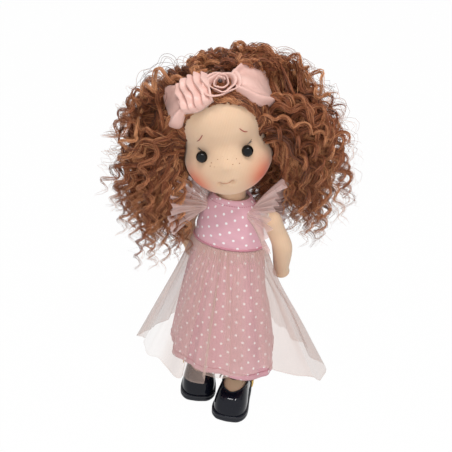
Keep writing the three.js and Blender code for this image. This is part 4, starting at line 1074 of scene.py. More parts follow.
def make_piping(turn):
    """The twisted cord in the waist seam."""
    count, sides = 480, 10
    angle = np.linspace(0, FULL_TURN, count, endpoint=False)
    ring = np.stack([(WAIST[0] + 0.4) * np.sin(angle), -(WAIST[1] + 0.4) * np.cos(angle), 0 * angle + WAIST_HEIGHT], -1)
    radii = 0.62 + 0.1 * np.sin(110 * angle)
    piping = make_tube("waist_cord", ring, radii, sides, PIPING, closed=True)
    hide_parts("waist_piping")
    return piping


def make_neck_stitches():
    parts = []
    count = 58
    for i in range(count):
        turn = np.linspace(FULL_TURN * i / count, FULL_TURN * (i + 0.62) / count, 5)
        height = NECKLINE_HEIGHT - 3.1
        half_width, half_depth = body_at(height)
        ring = np.stack(
            [(half_width + 0.12) * np.sin(turn), -(half_depth + 0.12) * np.cos(turn), 0 * turn + height], -1
        )
        parts.append(make_tube(f"stitch_{i}", ring, 0.2, 6, STITCH))
    stitches = join("neckline_stitches", parts)
    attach(stitches, "torso")


def skirt_blend(piece):
    """The skirts hang from the waist; their placement is baked into their meshes."""
    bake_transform(piece)


def lining_drop(angle):
    """How much lower the cotton's hem hangs over the doll's left foot."""
    return 10.5 * np.exp(-(((angle - 1.25) / 0.62) ** 2))


def make_lining():
    angles, ts, points = skirt_grid(lining_radius, LINING_HEM, 288, 60)
    points[..., 2] -= lining_drop(angles) * ts
    away = points * np.array([1, 1, 0])
    away /= np.linalg.norm(away, axis=-1, keepdims=True)
    gather = 0.32 * np.sin(64 * angles + 2 * np.sin(7 * angles)) * (1 - ts) ** 3
    soft = 0.7 * np.sin(23 * angles + 3 * np.sin(4 * angles)) * ts * (1 - 0.4 * ts)
    points = points + away * (gather + soft)[..., None]
    opening = 0.19
    slant = 121 + 101 * ts
    flat = np.stack([slant * np.sin(opening * angles), -slant * np.cos(opening * angles)], -1)
    lining = make_piece("lining_cotton", points, grid_faces(60, 289), SKIRT_COTTON, uv=flat, flip=True)
    thicken(lining, 0.5)
    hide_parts("lining_skirt")
    skirt_blend(lining)

    hem_turn = np.linspace(-math.pi, math.pi, 400)
    hem_share = 0.955
    radius = lining_radius(hem_turn, hem_share) + 0.25
    radius += 0.7 * np.sin(23 * hem_turn + 3 * np.sin(4 * hem_turn)) * hem_share * (1 - 0.4 * hem_share)
    height = SKIRT_TOP + (LINING_HEM - SKIRT_TOP - lining_drop(hem_turn)) * hem_share
    ring = np.stack([radius * np.sin(hem_turn), -radius * np.cos(hem_turn), 0 * hem_turn + height], -1)
    hem = make_tube("lining_hem_stitch", ring[:-1], 0.2, 6, STITCH, closed=True)
    skirt_blend(hem)


# How far the tulle's hem is drawn up, by the turn in degrees
TULLE_LIFT = [
    (-180, 2), (-120, 0), (-95, 0), (-78, 4), (-62, 13), (-50, 15), (-38, 12), (-28, 5), (-12, 2), (0, 5),
    (12, 9), (30, 12), (45, 14), (62, 14), (78, 8), (90, 0), (120, 0), (180, 2),
]


# Where the net lies double and takes painted shade (above 0) or lies thin (below 0): turn and half width in radians,
# strength
TULLE_BANDS = [
    (-0.78, 0.17, -0.8), (-0.42, 0.12, 0.3), (-0.12, 0.09, -0.35), (0.1, 0.1, 0.3), (0.36, 0.12, -0.3),
    (0.6, 0.1, 0.35), (0.86, 0.13, -0.7), (-1.6, 0.5, 0.55), (1.6, 0.5, 0.55),
]


def fold_lines(angles, ts):
    """The sharp folds that run down a gathered net, as a mask of denser net and painted shade: strong at the waist,
    thinner towards the hem.
    """
    rng = np.random.default_rng(5)
    lines = np.zeros(angles.shape)
    for _ in range(54):
        turn, width = rng.uniform(-math.pi, math.pi), rng.uniform(0.012, 0.04)
        drift, strength, ends = rng.normal(0, 0.06), rng.uniform(0.35, 1), rng.uniform(0.35, 1.3)
        away = (angles - turn - drift * ts) / (width * (0.7 + 0.6 * ts))
        lines += strength * np.exp(-(away**2)) * np.clip(1.1 - ts / ends, 0, 1)
    for turn, width, strength in TULLE_BANDS:
        away = (angles - turn) / (width * (0.7 + 0.5 * ts))
        lines += strength * np.exp(-(away**4)) * np.clip(ts * 5, 0, 1)
    tight = (0.5 + 0.5 * np.sin(90 * angles + 3 * np.sin(11 * angles))) * np.exp(-ts / 0.12)
    return np.clip(lines + 0.8 * tight, -1, 1)


def make_tulle():
    def folded(angle, t):
        radius = tulle_radius(angle, t)
        ripple = 0.9 * np.sin(41 * angle + 2 * np.sin(5 * angle)) * t**0.6
        return radius + ripple * 0.5

    columns, levels = 720, 56
    angle = np.linspace(-math.pi, math.pi, columns + 1)
    t = np.linspace(0, 1, levels)
    angles, ts = np.meshgrid(angle, t)
    front = np.exp(-(((angles - 0.05) / 0.62) ** 2))
    swing = (0.055 * front + 0.02) * np.sin(15 * angles + np.sin(3 * angles) + 1.4) * np.clip(ts * 3, 0, 1)
    radius = folded(angles, ts)
    turned = angles + swing * 1.35
    hem = TULLE_HEM + follow(TULLE_LIFT, np.degrees(angles)) + 0.6 * np.sin(19 * angles)
    height = SKIRT_TOP + (hem - SKIRT_TOP) * ts
    points = np.stack([radius * np.sin(turned), -radius * np.cos(turned), height], -1)
    gather = 0.5 * np.sin(90 * angles) * (1 - ts) ** 2
    away = points * np.array([1, 1, 0])
    away /= np.linalg.norm(away, axis=-1, keepdims=True)
    points = points + away * gather[..., None]
    tulle = make_piece("tulle_net_skirt", points, grid_faces(levels, columns + 1), TULLE, flip=True)
    # Denser net and painted shade along the folds.
    paint(tulle, "fold", fold_lines(angles, ts))
    paint(tulle, "edge", 0.12 * np.clip((ts - 0.985) / 0.015, 0, 1) + 0.25 * np.clip((0.1 - ts) / 0.1, 0, 1))
    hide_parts("tulle_skirt")
    skirt_blend(tulle)


def armhole_seam(side, angle):
    height = ARMHOLE_HEIGHT - 1.3 + 6.5 * np.cos(angle)
    depth = 10.5 * np.sin(angle)
    half_width, half_depth = body_at(height)
    width = half_width * np.sqrt(1 - (depth / half_depth) ** 2)
    return np.stack([side * (width + 0.3), depth * (1 + 0.3 / half_depth), height], -1)


GATHER = 23.1


def make_ruffles():
    for side, word in ((1, "left"), (-1, "right")):
        columns, levels = 360, 30
        u, v = np.meshgrid(np.linspace(0, 1, columns + 1), np.linspace(0, 1, levels))
        angle = (u - 0.5) * 1.3 * math.pi
        down, lift = 1 - np.cos(angle), np.cos(angle)
        out = v * (23.5 + 3 * np.clip(lift, 0, 1) + 1.6 * np.sin(5 * u + 1) + 0.9 * np.sin(31 * u))
        spread = np.stack(
            [
                side * (GATHER * (1 - 0.1 * lift + 0.06 * down) + out * (0.52 + 0.16 * lift)),
                (13.9 + out * 0.6) * np.sin(angle),
                171.6 + 25 * (0.3 - 0.5 * down) + out * (0.66 * lift - 0.14 * down),
            ],
            -1,
        )
        blend = (v * (2 - v))[..., None]
        points = armhole_seam(side, angle) * (1 - blend) + spread * blend
        normal = np.cross(np.gradient(points, axis=1), np.gradient(points, axis=0))
        normal /= np.linalg.norm(normal, axis=-1, keepdims=True) + 1e-9
        crimp = FULL_TURN * 21 * u + 2.4 * np.sin(7 * u) + 1.2 * np.sin(19 * u)
        pleat = 2.0 * v * np.sin(FULL_TURN * 6.5 * u + 1) + 2.1 * v**0.8 * np.sin(crimp + 1.2 * v)
        points = points + normal * pleat[..., None]
        ruffle = make_piece(f"{word}_tulle_ruffle", points, grid_faces(levels, columns + 1), RUFFLE_TULLE)
        # Painted shade in the valleys between the pleats, where the same mask also thickens the net.
        paint(ruffle, "fold", np.clip(0.5 - 0.6 * np.sin(crimp), 0, 1) * (1 - 0.4 * v))
        paint(ruffle, "edge", 0.14 * np.clip((v - 0.96) / 0.04, 0, 1) + 0.2 * np.clip((0.2 - v) / 0.2, 0, 1))
        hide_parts(f"{word}_ruffle")
        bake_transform(ruffle)


# Headband

# The band lies in one plane, from the top of the brow to the nape. Its turn is 0 in front.
BAND_RISE, BAND_LEAN, BAND_SKEW, BAND_SEAT = 10, math.radians(42), math.radians(7.8), 1.2
BAND_PLANE = (
    Matrix.Translation(HEAD_MIDDLE.tolist())
    @ Matrix.Rotation(math.pi / 2 + BAND_LEAN, 4, "X")
    @ Matrix.Rotation(BAND_SKEW, 4, "Y")
    @ Matrix.Translation((0, 0, -BAND_RISE))
)


def inside_head(points):
    share = (points[..., 2] - CHIN) / HEAD_HEIGHT
    front = HEAD_FRONT * follow(HEAD_FRONT_SHARES, share)
    rear = HEAD_BACK * follow(HEAD_BACK_SHARES, share)
    depth = np.where(points[..., 1] < 0, front, rear)
    width = HEAD_HALF_WIDTH * follow(HEAD_WIDTH_SHARES, share)
    return (share > 0) & (share < 1) & (np.hypot(points[..., 0] / width, points[..., 1] / depth) < 1)


def band_points(turn, across, grow):
    """Points over the head, by the turn round the band, the distance across it and the height over it."""
    turn, across, grow = np.broadcast_arrays(
        np.asarray(turn, float), np.asarray(across, float), np.asarray(grow, float)
    )
    frame_turn = np.array(BAND_PLANE.to_3x3())
    origin = np.array(BAND_PLANE.translation)
    low, high = np.zeros(turn.shape), np.full(turn.shape, 76.0)

    def at(reach):
        return np.stack([reach * np.sin(turn), reach * np.cos(turn), -across], -1) @ frame_turn.T + origin

    for _ in range(24):
        reach = (low + high) / 2
        within = inside_head(at(reach))
        low, high = np.where(within, reach, low), np.where(within, high, reach)
    point = at(low)
    away = point - HEAD_MIDDLE
    return point + away / np.linalg.norm(away, axis=-1, keepdims=True) * grow[..., None]


def make_elastic():
    turn = np.linspace(0, FULL_TURN, 240, endpoint=False)
    rings = []
    for across, grow in ((-3.5, 1.2), (-3.5, 1.8), (-3, 2.1), (-1.5, 2.05), (0, 2.15), (1.5, 2.05), (3, 2.1), (3.5, 1.8), (3.5, 1.2), (0, 1.1)):
        rings.append(band_points(turn, across, grow + 0.08 * np.sin(60 * turn)))
    points = np.stack(rings, 1)
    sides = len(rings)
    count = len(turn)
    faces = [
        (i * sides + j, i * sides + (j + 1) % sides, (i + 1) % count * sides + (j + 1) % sides, (i + 1) % count * sides + j)
        for i in range(count)
        for j in range(sides)
    ]
    elastic = make_piece("elastic_band", points, faces, ELASTIC, HEAD)
    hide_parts("headband_elastic")
    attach(elastic, "head")


def satin_sheet(name, node, from_degrees, to_degrees, rows, shape, columns=90, levels=60, length=None):
    """A satin shape over the elastic. shape gives its height for u along it and w across it, from -1 to 1."""
    u, w = np.meshgrid(np.linspace(0, 1, columns), np.linspace(-1, 1, levels))
    turn = np.radians(from_degrees + (to_degrees - from_degrees) * u)
    half = 11.5 * follow(rows, u)
    grow = 2.6 + shape(u, w)
    points = band_points(turn, half * w, grow)
    piece = make_piece(name, points, grid_faces(levels, columns), SATIN, HEAD, flip=True)
    thicken(piece, 0.5)
    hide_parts(node)
    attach(piece, "head")
    return piece


def edge_roll(w, share=0.12):
    """A rolled hem along both edges, and the drop to the band beyond it."""
    edge = 1 - np.abs(w)
    return np.sqrt(np.clip(edge / share, 0, 1))


def make_headband():
    make_elastic()

    def big_petal(u, w):
        body = 4.6 * np.sin(math.pi * np.clip(0.12 + 0.86 * u, 0.02, 0.98)) ** 0.5
        rim = 3.4 * np.exp(-(((np.abs(w) - 0.84) / 0.13) ** 2)) * np.sin(math.pi * np.clip(u + 0.1, 0, 1)) ** 0.5
        dish = -2.6 * np.exp(-((w / 0.5) ** 2)) * np.sin(math.pi * u) ** 0.8
        creases = 0.9 * np.sin(8 * w + 3 * u) * np.exp(-u / 0.4) + 0.35 * np.sin(5 * w + 9 * u)
        return body * edge_roll(w, 0.16) + rim * edge_roll(w, 0.1) + dish + creases

    def small_petal(u, w):
        body = 3.8 * np.sin(math.pi * np.clip(0.9 * u + 0.02, 0.02, 0.98)) ** 0.5
        rim = 3.0 * np.exp(-(((np.abs(w) - 0.82) / 0.15) ** 2)) * np.sin(math.pi * np.clip(u, 0, 1)) ** 0.5
        dish = -2.0 * np.exp(-(((w - 0.1) / 0.45) ** 2)) * np.sin(math.pi * u)
        creases = 0.9 * np.sin(8 * w + 2 * u) * np.exp(-(1 - u) / 0.4) + 0.3 * np.sin(5 * w + 8 * u)
        return body * edge_roll(w, 0.16) + rim * edge_roll(w, 0.1) + dish + creases

    def pleats(u, w):
        place = 4.6 * u + 0.45 * w + 0.15 * np.sin(5 * w)
        lap = place - np.floor(place)
        step = np.clip(lap / 0.16, 0, 1) * (1 - lap) ** 0.55
        return 1.0 + edge_roll(w, 0.14) * (1.6 + 4.6 * step + 0.5 * np.sin(7 * w + 3 * np.floor(place)))

    satin_sheet(
        "satin_left_petal", "headband_left_petal", 20, 76,
        [(0, 0.5), (0.3, 1.22), (0.62, 1.2), (0.85, 0.8), (0.96, 0.4), (1, 0.15)], big_petal,
    )
    satin_sheet(
        "satin_right_petal", "headband_right_petal", -66, -28,
        [(0, 0.3), (0.12, 0.75), (0.35, 1.05), (0.65, 1.12), (1, 0.75)], small_petal,
    )
    satin_sheet(
        "satin_pleats", "headband_pleats", -31, -1, [(0, 0.85), (0.5, 1.1), (1, 0.85)], pleats, columns=160,
    )
    make_rosette()


def make_rosette():
    """A strip of satin wound into a rosette, standing on the band, with a bead in its middle."""
    centre_turn = math.radians(8.5)
    middle = band_points(centre_turn, 0.0, 3.0)
    out = middle - HEAD_MIDDLE
    out /= np.linalg.norm(out)
    side = np.cross(out, (0, 0, 1.0))
    side /= -np.linalg.norm(side)
    up = np.cross(out, side)
    columns, levels = 260, 10
    u, v = np.meshgrid(np.linspace(0, 1, columns), np.linspace(0, 1, levels))
    turn = 3.1 * FULL_TURN * u
    radius = 2.2 + 7.6 * u
    wobble = 1 + 0.09 * np.sin(2 * turn + 1) + 0.07 * np.sin(3.4 * turn + 2)
    lean = (2.6 + 1.4 * np.sin(1.7 * turn)) * v * (0.3 + u)
    reach = (radius + lean) * wobble
    rise = 5.2 * np.sin(v * math.pi * 0.62) * (1 - 0.45 * u) + 0.4 * np.sin(5 * turn)
    points = (
        middle
        + side * (reach * np.cos(turn))[..., None]
        + up * (reach * np.sin(turn) * 1.1)[..., None]
        + out * rise[..., None]
    )
    strip = make_piece("satin_rosette", points, grid_faces(levels, columns), SATIN, HEAD)
    thicken(strip, 0.4)
    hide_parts("headband_rosette")
    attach(strip, "head")
    bead = make_ball("dark_bead", middle + out * 4.6, 1.6, (1, 1, 1), BEAD, HEAD, 24, 16)
    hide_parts("rosette_bead")
    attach(bead, "head")


# Hair

# The hair's outline as seen from in front of the turned head, in the neck's upright frame: (across, height)
HAIR_RIGHT_OUTLINE = [
    (-12, 98), (-30, 90), (-53, 74), (-70, 63), (-85, 47), (-91, 24), (-88, 2), (-93, -28), (-82, -56),
    (-70, -62), (-66, -88), (-48, -86), (-34, -62), (-31, -30), (-33, 0), (-33, 40), (-14, 78),
]
HAIR_LEFT_OUTLINE = [
    (-12, 98), (9, 107), (39, 97), (58, 85), (70, 66), (78, 47), (84, 31), (89, 10), (88, -18), (80, -42),
    (62, -54), (48, -46), (40, -30), (36, 0), (34, 20), (34, 42), (12, 84),
]


def to_neck(points):
    """Points of the head's frame, in the neck's upright frame."""
    turn = Matrix.Rotation(-HEAD_TILT, 3, "Y") @ Matrix.Rotation(HEAD_NOD, 3, "X")
    return np.asarray(points) @ np.array(turn).T


def inside_outline(outline, x, z):
    crossings = 0
    for (x0, z0), (x1, z1) in zip(outline, outline[1:] + outline[:1]):
        if (z0 > z) != (z1 > z) and x < x0 + (z - z0) / (z1 - z0) * (x1 - x0):
            crossings += 1
    return crossings % 2 == 1


def pick_inside(outline, rng):
    corners = np.array(outline)
    while True:
        x, z = rng.uniform(corners.min(0), corners.max(0))
        if inside_outline(outline, x, z):
            return x, z


def bezier(a, b, c, d, count):
    t = np.linspace(0, 1, count)[:, None]
    return (1 - t) ** 3 * a + 3 * t * (1 - t) ** 2 * b + 3 * t**2 * (1 - t) * c + t**3 * d


def wind(line, wave, wavelength, phase, flat, lead=0.25):
    """A line that winds round its own course, as a curl does, from a still root."""
    along = np.gradient(line, axis=0)
    step = np.linalg.norm(along, axis=1)
    along /= step[:, None]
    travelled = np.cumsum(step)
    share = travelled / travelled[-1]
    side = np.cross(along, (0, 1, 0))
    side /= np.linalg.norm(side, axis=1)[:, None] + 1e-6
    out = np.cross(along, side)
    turn = phase + FULL_TURN * travelled / wavelength * (0.8 + 0.35 * share)
    size = wave * np.clip(share / lead, 0, 1) * (0.7 + 0.45 * share)
    drift = 0.9 * size * np.sin(2 * phase + FULL_TURN * 1.4 * share)
    return line + side * (size * np.cos(turn) + drift)[:, None] + out * (flat * size * np.sin(turn))[:, None]


def lock_strands(guide, count, spread, frizz, rng):
    """Thin strands that run together along a lock, and part towards its tip."""
    steps = len(guide)
    t = np.linspace(0, 1, steps)
    reach_share = np.clip(t[None] * rng.uniform(0.8, 1.0, (count, 1)), 0, 1) * (steps - 1)
    low = np.minimum(reach_share.astype(int), steps - 2)
    part = (reach_share - low)[..., None]
    along = np.gradient(guide, axis=0)
    along /= np.linalg.norm(along, axis=1)[:, None]
    side = np.cross(along, (0.2, 0.95, 0.25))
    side /= np.linalg.norm(side, axis=1)[:, None] + 1e-6
    out = np.cross(along, side)
    line = guide[low] * (1 - part) + guide[low + 1] * part
    spin = rng.uniform(0, FULL_TURN, (count, 1)) + rng.normal(0, 0.8, (count, 1)) * t
    reach = spread * np.sqrt(rng.uniform(0, 1, (count, 1))) * (0.6 + 0.5 * np.sin(math.pi * t) - 0.1 * t)
    shift = [
        frizz
        * (0.25 + 0.75 * t)
        * np.sin(FULL_TURN * (rng.uniform(1.2, 4.5, (count, 1)) * t + rng.uniform(0, 1, (count, 1))))
        for _ in range(2)
    ]
    sideways = (reach * np.cos(spin) + shift[0])[..., None]
    outwards = (reach * np.sin(spin) + shift[1])[..., None]
    return line + side[low] * sideways + out[low] * outwards


def strand_rings(paths, radius, sides=3):
    along = np.gradient(paths, axis=1)
    along /= np.linalg.norm(along, axis=-1, keepdims=True) + 1e-9
    side = np.cross(along, (0.31, 0.87, 0.39))
    side /= np.linalg.norm(side, axis=-1, keepdims=True) + 1e-9
    out = np.cross(along, side)
    turn = np.linspace(0, FULL_TURN, sides, endpoint=False)
    t = np.linspace(0, 1, paths.shape[1])
    reach = (radius * np.sqrt(np.clip(1 - t**3, 0.02, 1)))[None, :, None, None]
    ring = side[:, :, None] * np.cos(turn)[:, None] + out[:, :, None] * np.sin(turn)[:, None]
    return paths[:, :, None] + reach * ring


def strand_mesh(name, bundles, sides=3):
    """One mesh of many strands, from (paths, radius, tone) bundles in the neck's frame."""
    clouds, tones = [], []
    for paths, radius, tone in bundles:
        clouds.append(strand_rings(paths, radius, sides))
        tones.append(np.repeat(tone, sides, axis=-1))
    points = np.concatenate([cloud.reshape(-1, 3) for cloud in clouds])
    steps = bundles[0][0].shape[1]
    strands = len(points) // (steps * sides)
    base = np.arange(strands)[:, None, None] * steps * sides
    row = np.arange(steps - 1)[None, :, None] * sides
    here = np.arange(sides)[None, None, :]
    there = (here + 1) % sides
    quads = np.stack(
        [base + row + here, base + row + there, base + row + sides + there, base + row + sides + here], -1
    ).reshape(-1, 4)
    placed = points @ np.array(NECK.to_3x3()).T + np.array(NECK.translation)
    mesh = bpy.data.meshes.new(name)
    mesh.vertices.add(len(placed))
    mesh.vertices.foreach_set("co", placed.astype(np.float32).ravel())
    mesh.loops.add(quads.size)
    mesh.loops.foreach_set("vertex_index", quads.ravel().astype(np.int32))
    mesh.polygons.add(len(quads))
    mesh.polygons.foreach_set("loop_start", np.arange(0, quads.size, 4, dtype=np.int32))
    mesh.update()
    mesh.shade_smooth()
    mesh.materials.append(HAIR)
    piece = bpy.data.objects.new(name, mesh)
    bpy.context.scene.collection.objects.link(piece)
    paint(piece, "tone", np.concatenate([tone.ravel() for tone in tones]))
    return piece


LOCK_STEPS = 50
STRANDS_PER_PIECE = 600


def place_hair(name, node, bundles):
    """The bundles in pieces of a size that can be kept, all on the head."""
    batch, count, pieces = [], 0, 0
    for bundle in bundles + [None]:
        if batch and (bundle is None or count + len(bundle[0]) > STRANDS_PER_PIECE):
            piece = strand_mesh(f"{name}_{pieces + 1}", batch)
            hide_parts(node)
            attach(piece, "head")
            batch, count, pieces = [], 0, pieces + 1
        if bundle is not None:
            batch.append(bundle)
            count += len(bundle[0])


def lock_bundle(line, rng, wave, wavelength, strands=16, spread=1.45, frizz=0.4, radius=0.27, lead=0.22):
    guide = wind(line, wave, wavelength, rng.uniform(0, FULL_TURN), rng.uniform(0.4, 0.9), lead)
    paths = lock_strands(guide, strands, spread, frizz, rng)
    t = np.linspace(0, 1, LOCK_STEPS)
    tone = rng.uniform(0.08, 0.9) + rng.normal(0, 0.2, (strands, 1)) + 0.3 * (t - 0.4)[None]
    return paths, radius, np.clip(tone, 0, 1)


def scalp_point(degrees, share, grow=1.5):
    return to_neck(head_points(math.radians(degrees), share, grow))


def falling_lock(tip, root, rng):
    """From the scalp outwards, and down to the tip."""
    span = np.linalg.norm(tip - root)
    out = root - np.array([0, 4, 30])
    out /= np.linalg.norm(out)
    drop = np.clip((62 - tip[2]) / 90, 0, 1)
    lead = root + out * 0.3 * span + np.array([0, 0, 0.12 * span])
    above = tip + np.array([0.12 * tip[0] * (1 - drop), 0, 0.45 * span * drop])
    above += (root - tip) * 0.25 * (1 - drop)
    return bezier(root, lead, above, tip, LOCK_STEPS)


def settle(height_seen, depth):
    """The real height of a point at a depth, where its height as seen from the camera is given."""
    return height_seen - depth * math.tan(math.radians(28))


def behind_band(line):
    """The line, pushed back behind the satin where it would cross it."""
    to_head = np.array((NECK.inverted() @ HEAD).to_3x3())
    frame_turn, origin = np.array(BAND_PLANE.to_3x3()), np.array(BAND_PLANE.translation)
    local = (line @ to_head - origin) @ frame_turn
    turn = np.degrees(np.arctan2(local[:, 0], local[:, 1]))
    across = -local[:, 2]
    reach = np.hypot(local[:, 0], local[:, 1])
    front = np.clip((90 - np.abs(turn)) / 14, 0, 1) * np.clip((76 - reach) / 14, 0, 1)
    wanted = 15 * front
    pushed = np.where(across > -6, np.maximum(across, wanted), across)
    local[:, 2] = -pushed
    return (local @ frame_turn.T + origin) @ to_head.T


def curl(line, rng, **more):
    """A lock with the loose, uneven wave of this hair: some thick, some thin."""
    width = rng.uniform(0.9, 2.3)
    wave, wavelength = rng.uniform(2.2, 5.0), rng.uniform(14, 27)
    return lock_bundle(line, rng, wave, wavelength, spread=width, frizz=rng.uniform(0.4, 1.2), **more)


def side_locks(outline, sign, count, rng):
    bundles = []
    for _ in range(count):
        x, z = pick_inside(outline, rng)
        if rng.uniform(0, 1) < 0.4:
            x, z = min((x, z), pick_inside(outline, rng), key=lambda spot: spot[1])
        layer = rng.uniform(-1, 1)
        depth = 6 + layer * (28 if z > -10 else 20)
        if z > 16 and abs(x) < 64:
            depth = rng.uniform(12, 38)
        if z < 12 and abs(x) < 58:
            depth = rng.uniform(12, 32) if sign > 0 else rng.uniform(-6, 12)
        tip = np.array([x, depth, settle(z, depth)])
        lean = np.clip((z + 40) / 140, 0, 1)
        layer = (depth - 6) / 28
        degrees = sign * (66 + 54 * (layer + 1) / 2 + rng.normal(0, 6))
        share = np.clip(0.42 + 0.5 * lean + rng.normal(0, 0.08), 0.3, 0.97)
        if z > 66:
            degrees = sign * rng.uniform(60, 140)
            share = rng.uniform(0.9, 0.98)
        root = scalp_point(degrees, share)
        line = behind_band(falling_lock(tip, root, rng))
        bundles.append(curl(line, rng))
    return bundles


def back_locks(count, rng):
    bundles = []
    for _ in range(count):
        degrees = rng.uniform(115, 245)
        share = rng.uniform(0.25, 0.98)
        root = scalp_point(degrees, share)
        side = math.sin(math.radians(degrees))
        tip = np.array([side * rng.uniform(30, 76), rng.uniform(36, 56), rng.uniform(-60, 50)])
        tip[2] = min(tip[2], 76 * share)
        line = falling_lock(tip, root, rng)
        bundles.append(curl(line, rng))
    return bundles


def crown_locks(count, rng):
    """Waves that lie back over the top from behind the band, and stand up in a low crest."""
    bundles = []
    for _ in range(count):
        degrees = rng.uniform(100, 260)
        share = rng.uniform(0.9, 0.985)
        root = scalp_point(degrees, share, 2)
        x = np.clip(root[0] + rng.normal(12, 22), -44, 54)
        height = 105 - (max(14 - x, 0) / 58) ** 1.3 * 36 - (max(x - 14, 0) / 40) ** 2 * 22
        depth = rng.uniform(4, 40)
        tip = np.array([x, depth, settle(rng.uniform(height - 14, height), depth)])
        lead = root + np.array([0, 2, 8 + rng.uniform(0, 6)])
        above = tip + np.array([-0.2 * (x - root[0]), rng.normal(0, 6), 4])
        line = behind_band(bezier(root, lead, above, tip, LOCK_STEPS))
        bundles.append(curl(line, rng))
    return bundles


def surface_line(marks, count):
    """A line over the scalp through (degrees, height share, distance off the skin) marks."""
    points = [scalp_point(degrees, share, grow) for degrees, share, grow in marks]
    return smooth_path(points, count)


def top_locks(count, rng):
    """Waves that cover the top of the scalp, from just behind the band to the back."""
    bundles = []
    for degrees in np.linspace(-72, 72, count):
        side = np.sign(degrees)
        marks = [
            (degrees, rng.uniform(0.93, 0.97), 3),
            (degrees + 62 * side, 0.985, rng.uniform(6, 9)),
            (side * 180 - 0.5 * degrees, rng.uniform(0.86, 0.94), rng.uniform(6, 11)),
        ]
        bundles.append(curl(behind_band(surface_line(marks, LOCK_STEPS)), rng))
    return bundles


def framing_locks(rng):
    """Hair combed back from the hairline under the band, and the waves that hang beside the face."""
    combed, left, right = [], [], []
    hairline = [
        (-64, 0.5), (-52, 0.65), (-39, 0.76), (-25, 0.83), (0, 0.858), (16, 0.85), (32, 0.81), (44, 0.74),
        (54, 0.62), (62, 0.48),
    ]
    for degrees in np.linspace(-62, 62, 104):
        share = follow(hairline, degrees) + rng.uniform(-0.012, 0.012)
        start = scalp_point(degrees, share, 0.4)
        middle = scalp_point(degrees * 1.07 + 2, min(share + 0.07, 0.975), 2.6)
        far = scalp_point(degrees * 1.22 + 4, min(share + 0.14, 0.985), 3.6)
        line = smooth_path([start, middle, far], LOCK_STEPS)
        combed.append(lock_bundle(line, rng, 0.5, 14, spread=1.5, frizz=0.25, lead=0.5))
    for degrees in np.linspace(-48, 52, 60):
        rise, sweep = rng.uniform(0.0, 0.11), np.sign(degrees - 4) * rng.uniform(9, 15)
        marks = [
            (turn, min(follow(hairline, turn) + rise, 0.97), 1.2 + 14 * rise + bulge)
            for turn, bulge in ((degrees - sweep, 0.4), (degrees, 1.2), (degrees + sweep, 0.8))
        ]
        line = surface_line(marks, LOCK_STEPS)
        combed.append(lock_bundle(line, rng, 0.8, 17, spread=1.4, frizz=0.3, lead=0.5))
    for _ in range(46):
        drop = rng.uniform(0, 1)
        reach = rng.uniform(0, 1)
        over = 1.6 + 3.4 * reach
        tip = np.array([rng.uniform(44, 64), rng.uniform(6, 22), -44 + 78 * drop])
        marks = surface_line([(rng.uniform(38, 52), rng.uniform(0.84, 0.9), 2.5), (60, 0.72, over), (68, 0.56, over + 1)], 9)
        line = smooth_path(list(marks[::4]) + [(marks[-1] + tip) / 2 + np.array([3, -3, 4]), tip], LOCK_STEPS)
        left.append(lock_bundle(line, rng, rng.uniform(1.6, 3.4), rng.uniform(15, 24), spread=1.8, lead=0.5))
    for _ in range(44):
        seen, depth = rng.uniform(-40, 6), rng.uniform(13, 30)
        tip = np.array([rng.uniform(18, 46), depth, settle(seen, depth)])
        root = scalp_point(rng.uniform(78, 130), rng.uniform(0.3, 0.6))
        left.append(curl(falling_lock(tip, root, rng), rng))
    for _ in range(30):
        seen, depth = rng.uniform(-32, -2), rng.uniform(20, 34)
        tip = np.array([rng.uniform(10, 32), depth, settle(seen, depth)])
        root = scalp_point(rng.uniform(120, 175), rng.uniform(0.15, 0.4))
        left.append(curl(falling_lock(tip, root, rng), rng))
    for _ in range(30):
        seen, depth = rng.uniform(-78, -24), rng.uniform(-14, 2)
        tip = np.array([rng.uniform(-48, -31), depth, settle(seen, depth)])
        root = scalp_point(rng.uniform(-96, -72), rng.uniform(0.35, 0.7))
        right.append(curl(falling_lock(tip, root, rng), rng))
    for _ in range(40):
        drop = rng.uniform(0, 1)
        over = 2.0 + 6 * rng.uniform(0, 1)
        tip = np.array([rng.uniform(-60, -38), rng.uniform(-14, 6), -44 + 80 * drop])
        marks = surface_line([(rng.uniform(-52, -40), rng.uniform(0.8, 0.86), 2.5), (-66, 0.66, over), (-78, 0.5, over + 1)], 9)
        line = smooth_path(list(marks[::4]) + [(marks[-1] + tip) / 2 + np.array([-5, -2, 4]), tip], LOCK_STEPS)
        right.append(lock_bundle(line, rng, rng.uniform(1.6, 3.2), rng.uniform(17, 26), spread=1.8, lead=0.45))
    return combed, left, right


def flyaways(outline, sign, count, rng):
    """Single hairs that stray past the mass."""
    bundles = []
    corners = np.array(outline, float)
    for _ in range(count):
        k = rng.integers(0, len(corners) - 4)
        edge = corners[k] + (corners[k + 1] - corners[k]) * rng.uniform(0, 1)
        depth = rng.uniform(8, 30)
        tip = np.array([edge[0] * rng.uniform(0.95, 1.04), depth, settle(edge[1], depth)])
        root = scalp_point(sign * rng.uniform(75, 120), rng.uniform(0.5, 0.95))
        line = behind_band(falling_lock(tip, root, rng))
        bundles.append(
            lock_bundle(line, rng, rng.uniform(3, 7), rng.uniform(18, 34), strands=3, spread=3.5, frizz=1.8, radius=0.13)
        )
    return bundles


def make_hair():
    rng = np.random.default_rng(11)
    combed, framing_left, framing_right = framing_locks(rng)
    left = side_locks(HAIR_LEFT_OUTLINE, 1, 185, rng) + framing_left + flyaways(HAIR_LEFT_OUTLINE, 1, 46, rng)
    right = side_locks(HAIR_RIGHT_OUTLINE, -1, 215, rng) + framing_right + flyaways(HAIR_RIGHT_OUTLINE, -1, 46, rng)
    place_hair("left_curls", "hair_left", left)
    place_hair("right_curls", "hair_right", right)
    place_hair("back_curls", "hair_back", back_locks(110, rng))
    place_hair("crown_curls", "hair_crown", crown_locks(80, rng) + combed + top_locks(26, rng))


